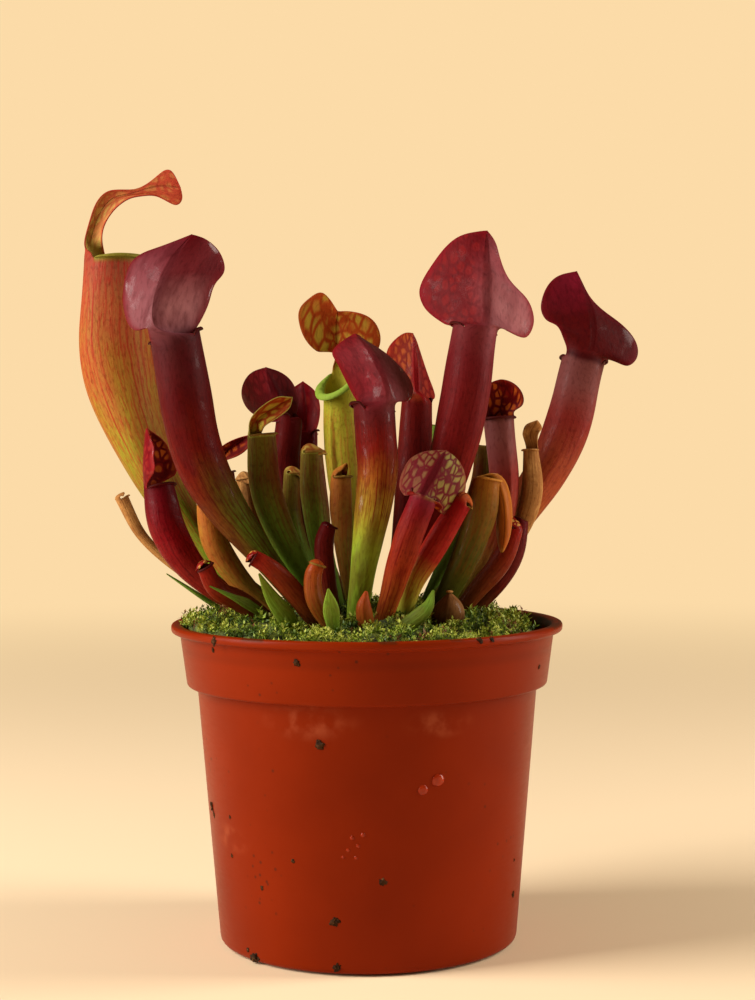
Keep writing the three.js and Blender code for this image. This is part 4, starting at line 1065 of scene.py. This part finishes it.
def rounded(profile, steps=4):
    """Replaces each corner with a short curve."""
    smooth = []
    for i, (radius, height, ease_by) in enumerate(profile):
        corner = Vector((radius, height))
        if not ease_by or i in (0, len(profile) - 1):
            smooth.append(corner)
            continue
        sides = []
        for other in (profile[i - 1], profile[i + 1]):
            edge = Vector(other[:2]) - corner
            sides.append(corner + edge.normalized() * min(ease_by, edge.length * 0.45))
        for step in range(steps + 1):
            t = step / steps
            smooth.append(sides[0] * (1 - t) ** 2 + corner * 2 * t * (1 - t) + sides[1] * t**2)
    return smooth


def turned(name, profile, sides=POT_SIDES):
    """Extrudes and resizes one ring of edges along a profile, and closes it."""
    first = profile[0]
    deselect()
    bpy.ops.mesh.primitive_circle_add(vertices=sides, radius=first.x * MM, location=(0, 0, first.y * MM))
    piece = sized(bpy.context.object)
    piece.name = piece.data.name = name
    bpy.ops.object.mode_set(mode="EDIT")
    bpy.ops.mesh.select_all(action="SELECT")
    for here, there in zip(profile, profile[1:]):
        bpy.ops.mesh.extrude_edges_move(TRANSFORM_OT_translate={"value": (0, 0, (there.y - here.y) * MM)})
        share = max(there.x, 1e-5) / here.x
        bpy.ops.transform.resize(value=(share, share, 1), center_override=(0, 0, 0))
    bpy.ops.mesh.merge(type="CENTER")
    bpy.ops.mesh.select_all(action="DESELECT")
    bpy.ops.mesh.select_non_manifold()
    bpy.ops.mesh.edge_face_add()
    bpy.ops.mesh.select_all(action="SELECT")
    bpy.ops.mesh.normals_make_consistent(inside=False)
    bpy.ops.object.mode_set(mode="OBJECT")
    return piece


pot = turned("pot_shell", rounded(POT_PROFILE))
deselect()
for hole in range(DRAIN["holes"]):
    angle = 2 * math.pi * hole / DRAIN["holes"]
    spot = Vector((math.cos(angle), math.sin(angle), 0)) * DRAIN["circle"] * MM
    bpy.ops.mesh.primitive_cylinder_add(
        vertices=32, radius=DRAIN["radius"] * MM, depth=DRAIN["depth"] * MM, location=spot)
    drill = bpy.context.object
    cut = pot.modifiers.new("drain", "BOOLEAN")
    cut.object, cut.operation, cut.solver = drill, "DIFFERENCE", "EXACT"
    pick(pot)
    bpy.ops.object.modifier_apply(modifier="drain")
    bpy.data.objects.remove(drill, do_unlink=True)
bpy.ops.object.shade_smooth_by_angle(angle=math.radians(40))
pot_points = [vertex.co for vertex in pot.data.vertices]
pot_surface = BVHTree.FromPolygons(pot_points, [face.vertices[:] for face in pot.data.polygons])
print("pot faces:", len(pot.data.polygons))

# %% [markdown]
# The plastic is coloured right through, so it has no wear to another colour. What it has is a
# soft gloss, faint cloudy shade, fine scratches, dirt on its rim, and a few chalky smears left by
# dried water. The smears sit at places seen in the photograph, found by following the sight line
# to the pot.

# %% Pot plastic
# the middle of each smear as a point of the picture, and its reach in millimetres
SMEARS = [(308, 722, 13), (440, 724, 10), (232, 838, 10)]
INNER_TOP = (0.066, 0.070)
INNER_WALL = (0.0422, 0.0428)
RIM_TOP = (0.0722, 0.0728)
plastic = Finish("terracotta_plastic", Specular_IOR_Level=0.06)
spot = plastic.place()
cloud = plastic.noise(spot, 28, 3.0)
orange = plastic.ramp(cloud, [(0.3, tint(116, 29, 1)), (0.7, tint(132, 36, 2))])
scratch = plastic.noise(plastic.scaled(spot, (1, 1, 6)), 260, 4.0)
speckle = plastic.smooth(plastic.cells(spot, 420, "F1"), 0.2, 0.1)
smear = None
for px, py, reach in SMEARS:
    origin, aim = sight(px, py)
    hit = pot_surface.ray_cast(origin, aim)[0]
    apart = plastic.node("VectorMath", {"operation": "SUBTRACT"}, [spot, tuple(hit)])
    away = plastic.length(plastic.scaled(apart, (1, 1, 2.6)))
    mark = 1 - plastic.smooth(away, reach * 0.2 * MM, reach * MM)
    smear = mark if smear is None else smear.larger(mark)
chalk = smear * plastic.smooth(plastic.noise(spot, 240, 5.0), 0.38, 0.7) * 0.4
orange = plastic.mix(chalk, orange, tint(176, 92, 60))
specks = speckle * plastic.smooth(plastic.noise(spot, 60, 1.0), 0.6, 0.7)
orange = plastic.mix(specks * 0.7, orange, tint(70, 30, 18))
up_pot = plastic.node("SeparateXYZ", None, [spot], 2)
off_axis = plastic.length(plastic.scaled(spot, (1, 1, 0)))
# Painted shade: the inner wall between the compost and the rim is darkened nearly to black, unevenly.
inside = plastic.smooth(up_pot, *INNER_TOP) * (1 - plastic.smooth(off_axis, *INNER_WALL))
patchy_shade = plastic.smooth(plastic.noise(spot, 140, 4.0), 0.3, 0.6)
orange = plastic.mix(inside * (patchy_shade * 0.3 + 0.7), orange, tint(24, 9, 3))
rim_dirt = plastic.smooth(up_pot, *RIM_TOP) * plastic.smooth(plastic.noise(spot, 120, 4.0), 0.54, 0.64)
orange = plastic.mix(rim_dirt * 0.75, orange, tint(70, 34, 14))
dull = cloud * 0.14 + scratch * 0.14 + chalk * 0.3 + 0.22
plastic_bump = plastic.relief(plastic.noise(spot, 180, 2.0) * 0.6 + scratch * 0.4, 0.05)
pot.data.materials.append(plastic.join(Base_Color=orange, Roughness=dull, Normal=plastic_bump))
settle(pot, "pot")

# %% [markdown]
# The compost is a damp brown plug of peat. Only its top shows, in the gap between the moss and
# the pot, so the plug is turned like the pot, and its grains and fibres come from its material.
# The creeping stem lies under the moss; its solid stays, in a fibrous brown.

# %% Compost and stem
COMPOST_TOP = 66.6
COMPOST_SIDE = [(32.5, 3.8, 0), (32.7, 4.2, 0.2), (37.6, 57.8, 0.3), (39.9, 60.2, 0.3), (40.5, 66.4, 0.5)]


def earth(name, dark, light):
    soil = Finish(name, Specular_IOR_Level=0.1)
    grain = soil.noise(soil.place(), 900, 5.0)
    lumps = soil.cells(soil.place(), 700, "F1")
    colour = soil.ramp(grain, [(0.3, dark), (0.62, light)])
    fibre = soil.smooth(soil.noise(soil.place(), 1800, 2.0), 0.64, 0.7)
    colour = soil.mix(fibre * 0.6, colour, tint(140, 100, 62))
    return soil.join(Base_Color=colour, Roughness=grain * 0.3 + 0.6, Normal=soil.relief(grain + lumps, 0.4))


peat = earth("damp_peat", tint(26, 16, 11), tint(74, 48, 32))
compost_rings = [(radius, COMPOST_TOP, 0) for radius in (30, 20, 10, 0)]
compost = turned("compost_plug", rounded(COMPOST_SIDE + compost_rings))
compost.data.materials.append(peat)
settle(compost, "compost")
stem = bpy.data.objects["rhizome"]
stem.data.materials.clear()
stem.data.materials.append(earth("creeping_stem_bark", tint(50, 30, 18), tint(104, 66, 40)))

# %% [markdown]
# Moss is a mat with thousands of tiny leafy shoots. The mat is a turned disc whose points are
# moved to the CAD's own mounds with small lumps on top. One shoot is modelled once, as a stalk of
# narrow leaves, and then copied over the mat, turned, leaned and sized at random. Each copy
# carries a brightness of its own, lowered towards the foot of the shoot, which its material reads,
# so the moss is painted with shade in its depths and is bright at its tips.

# %% Moss
MOSS = {"edge": 72.4, "crown": 76, "radius": 41.2,
        "bare_at": math.radians(8), "bare_width": math.radians(26), "bare_depth": 4.5}
MAT_SKIRT = [(39.5, 67.3), (40.6, 70), (41.2, 71.4)]
MAT_RINGS = 30
MAT_SINK = 0.9
SHOOT_SINK = 1.2
SHOOT_LEAVES = 7
SHOOTS = 6000
CLUMPS = 3
FOOT_CLEAR = 1.6


def moss_reach(angle):
    away = (angle - MOSS["bare_at"] + math.pi) % (2 * math.pi) - math.pi
    scallop = 0.3 * math.sin(9 * angle) ** 2
    return MOSS["radius"] - MOSS["bare_depth"] * math.exp(-((away / MOSS["bare_width"]) ** 2)) - scallop


def moss_height(x, y):
    out = min(1.0, math.hypot(x, y) / MOSS["radius"])
    mounds = math.sin(x * 0.21 + 0.6) * math.cos(y * 0.26 - 0.4) + 0.5 * math.sin(x * 0.47 - y * 0.38)
    return lerp(MOSS["crown"], MOSS["edge"], out**2) + 0.7 * mounds * (1 - 0.7 * out**4)


def tufts(x, y):
    """How far the moss stands above or below its even mound; on the left it spills over the rim."""
    spill = 2.4 * math.exp(-((x + 37) ** 2 + (y + 8) ** 2) / 15**2)
    return spill + 2.2 * noise.noise(Vector((x, y, 2)) * 0.2) + 1.5 * noise.noise(Vector((x, y, 9)) * 0.5)


mat_top = [(41 * (1 - i / MAT_RINGS), MOSS["edge"]) for i in range(MAT_RINGS + 1)]
mat = turned("moss_mat", [Vector(ring) for ring in MAT_SKIRT + mat_top])
for vertex in mat.data.vertices:
    x, y, z = vertex.co / MM
    angle, out = math.atan2(y, x), math.hypot(x, y)
    share = moss_reach(angle) / MOSS["radius"]
    x, y = x * share, y * share
    if z > 72:
        z = moss_height(x, y) - MAT_SINK + tufts(x, y)
    vertex.co = Vector((x, y, z)) * MM
pick(mat)
bpy.ops.object.shade_smooth()
turf = Finish("moss_depths")
fine = turf.noise(turf.place(), 700, 4.0)
patch = turf.noise(turf.place(), 90, 2.0)
mixed = turf.ramp(fine, [(0.32, tint(30, 34, 12)), (0.52, tint(84, 96, 26)), (0.72, tint(132, 142, 40))])
mixed = turf.mix(turf.smooth(patch, 0.58, 0.68) * 0.7, mixed, tint(50, 34, 20))
turf.join(Base_Color=mixed, Roughness=fine * 0.2 + 0.7, Normal=turf.relief(fine, 0.5))
mat.data.materials.append(turf.material)
settle(mat, "moss_carpet")

deselect()
bpy.ops.mesh.primitive_cone_add(vertices=3, radius1=0.09, radius2=0.03, depth=1.5, end_fill_type="NOTHING",
                                location=(0, 0, 0.75))
shoot = sized(bpy.context.object)
points = [v.co.copy() for v in shoot.data.vertices]
faces = [tuple(f.vertices) for f in shoot.data.polygons]
bpy.data.objects.remove(shoot, do_unlink=True)
for i in range(SHOOT_LEAVES):
    turn = Matrix.Rotation(i * 2.4, 3, "Z")
    base, tall, wide = 0.25 + 0.2 * i, 0.75 - 0.04 * i, 0.17
    start = len(points)
    rise = 0.5 + 0.07 * i
    broad, broad_up = 0.35 * tall, base + rise * 0.4 * tall
    foot, tip = (0.04, 0, base), (tall, 0, base + rise * tall)
    corners = foot, (broad, wide, broad_up), (broad, -wide, broad_up), tip
    points += [turn @ Vector(corner) for corner in corners]
    faces += [(start, start + 2, start + 1), (start + 1, start + 2, start + 3)]
print("faces of one moss shoot:", len(faces))

dice = random.Random(41)
feet = [Vector(plan["spine"][0][:2]) for plan in LEAVES.values()]
green_tip = Finish("moss_shoots", Roughness=0.6)
# The dark low end of this ramp is painted shade for the depths of the moss; its last stop is the brown of
# withered shoots.
tone = green_tip.node("Attribute", {"attribute_name": "tone"}, (), 2)
leafy = green_tip.ramp(tone, [
    (0.0, tint(20, 30, 5)), (0.25, tint(66, 94, 14)), (0.5, tint(116, 142, 26)),
    (0.75, tint(148, 164, 40)), (0.97, tint(172, 178, 62)), (1.0, tint(128, 84, 36))])
grainy = green_tip.noise(green_tip.place(), 900, 2.0)
green_tip.join(Base_Color=leafy, Roughness=grainy * 0.2 + 0.5)
planted = 0
for clump in range(CLUMPS):
    spots, polygons, shaded_tones = [], [], []
    for _ in range(SHOOTS // CLUMPS):
        angle, share = dice.uniform(-math.pi, math.pi), math.sqrt(dice.random())
        spill = 0.05 * math.exp(-((abs(angle) - math.pi) / 0.8) ** 2)
        reach = moss_reach(angle) * share * (0.985 + spill)
        x, y = reach * math.cos(angle), reach * math.sin(angle)
        thick = 1 + 0.6 * noise.noise(Vector((x, y, 4)) * 0.35)
        size = dice.uniform(0.7, 1.6) * thick
        lean_by = dice.gauss(0, 0.6)
        spin = dice.uniform(0, 2 * math.pi)
        own_tone = min(1.2, max(0.25, dice.gauss(0.85, 0.18) + 1.2 * noise.noise(Vector((x, y, 7)) * 0.2)))
        withered = noise.noise(Vector((x, y, 15)) * 0.3) > 0.42 and dice.random() < 0.6
        if any((Vector((x, y)) - foot).length < FOOT_CLEAR for foot in feet):
            continue
        z = moss_height(x, y) - SHOOT_SINK + tufts(x, y)
        pose = Matrix.Translation((x, y, z)) @ Matrix.Rotation(spin, 4, "Z")
        pose = pose @ Matrix.Rotation(lean_by, 4, "X")
        start = len(spots)
        for point in points:
            spots.append((pose @ (point * size)) * MM)
            # Painted shade: each shoot is darker towards its foot, in the depths of the moss; withered shoots
            # stay brown.
            shaded_tones.append(1.0 if withered else min(0.96, own_tone * (0.3 + 0.42 * point.z)))
        polygons += [tuple(start + i for i in face) for face in faces]
        planted += 1
    mesh = bpy.data.meshes.new("moss_shoots_%d" % clump)
    mesh.from_pydata(spots, [], polygons)
    mesh.attributes.new("tone", "FLOAT", "POINT").data.foreach_set("value", shaded_tones)
    tuft = bpy.data.objects.new(mesh.name, mesh)
    bpy.context.scene.collection.objects.link(tuft)
    mesh.materials.append(green_tip.material)
    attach(tuft, "root")
print("moss shoots:", planted)

# %% [markdown]
# Crumbs of peat and drops of water stick to the pot. Each lies where a sight line of the
# photograph meets the plastic, and a mark whose line just misses the pot is left out. A crumb is
# a lumpy ball pressed into the wall, and a drop is a low dome.

# %% Crumbs and drops
# each mark's middle as a point of the picture, and its radius in millimetres
CRUMBS = [
    (297, 663, 0.7), (320, 745, 0.9), (212, 806, 1.0), (214, 814, 0.6), (230, 817, 0.4), (262, 888, 0.4),
    (335, 922, 0.8), (337, 968, 0.8), (383, 882, 0.7), (539, 667, 0.5), (345, 640, 0.7), (255, 958, 1.2),
    (261, 965, 0.8), (248, 950, 0.5), (232, 856, 0.4), (293, 861, 0.4), (513, 894, 0.7), (514, 860, 0.4),
    (211, 633, 1.1), (214, 641, 0.8), (213, 650, 0.5), (219, 634, 0.7), (480, 640, 0.6), (492, 639, 0.5)]
DROPS = [
    (423, 790, 1.1), (438, 780, 1.4), (363, 835, 0.5), (352, 838, 0.45), (358, 846, 0.4),
    (348, 850, 0.4), (343, 857, 0.35), (356, 858, 0.35)]


def stuck(name, marks, height, material, lump):
    deselect()
    made = []
    for px, py, radius in marks:
        origin, aim = sight(px, py)
        hit, normal = pot_surface.ray_cast(origin, aim)[:2]
        if hit is None:
            continue
        bpy.ops.mesh.primitive_ico_sphere_add(subdivisions=3, radius=1, location=(0, 0, 0))
        blob = bpy.context.object
        turn = normal.to_track_quat("Z", "X").to_matrix()
        for vertex in blob.data.vertices:
            uneven = 1 + lump * noise.noise(vertex.co * 1.8 + hit * 900)
            x, y, z = vertex.co
            local = Vector((x * radius, y * radius, z * radius * height)) * uneven
            vertex.co = hit + turn @ local * MM
            vertex.co.z = max(0.0, vertex.co.z)
        bpy.ops.object.shade_smooth()
        made.append(blob)
    print(name, "stuck on:", len(made), "of", len(marks), "marks")
    pick(*made)
    bpy.ops.object.join()
    piece = bpy.context.object
    piece.name = piece.data.name = name
    piece.data.materials.append(material)
    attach(piece, "root")
    return piece


crumbs = stuck("pot_crumbs", CRUMBS, 0.25, earth("pot_dirt", tint(30, 16, 6), tint(64, 38, 16)), 1.1)
water = Finish("pot_water", Roughness=0.04, IOR=1.33)
thin = water.noise(water.place(), 500, 1.0)
drops = stuck("pot_drops", DROPS, 0.35, water.join(
    Base_Color=water.ramp(thin, [(0.3, tint(136, 34, 8)), (0.7, tint(158, 46, 14))])), 0.15)
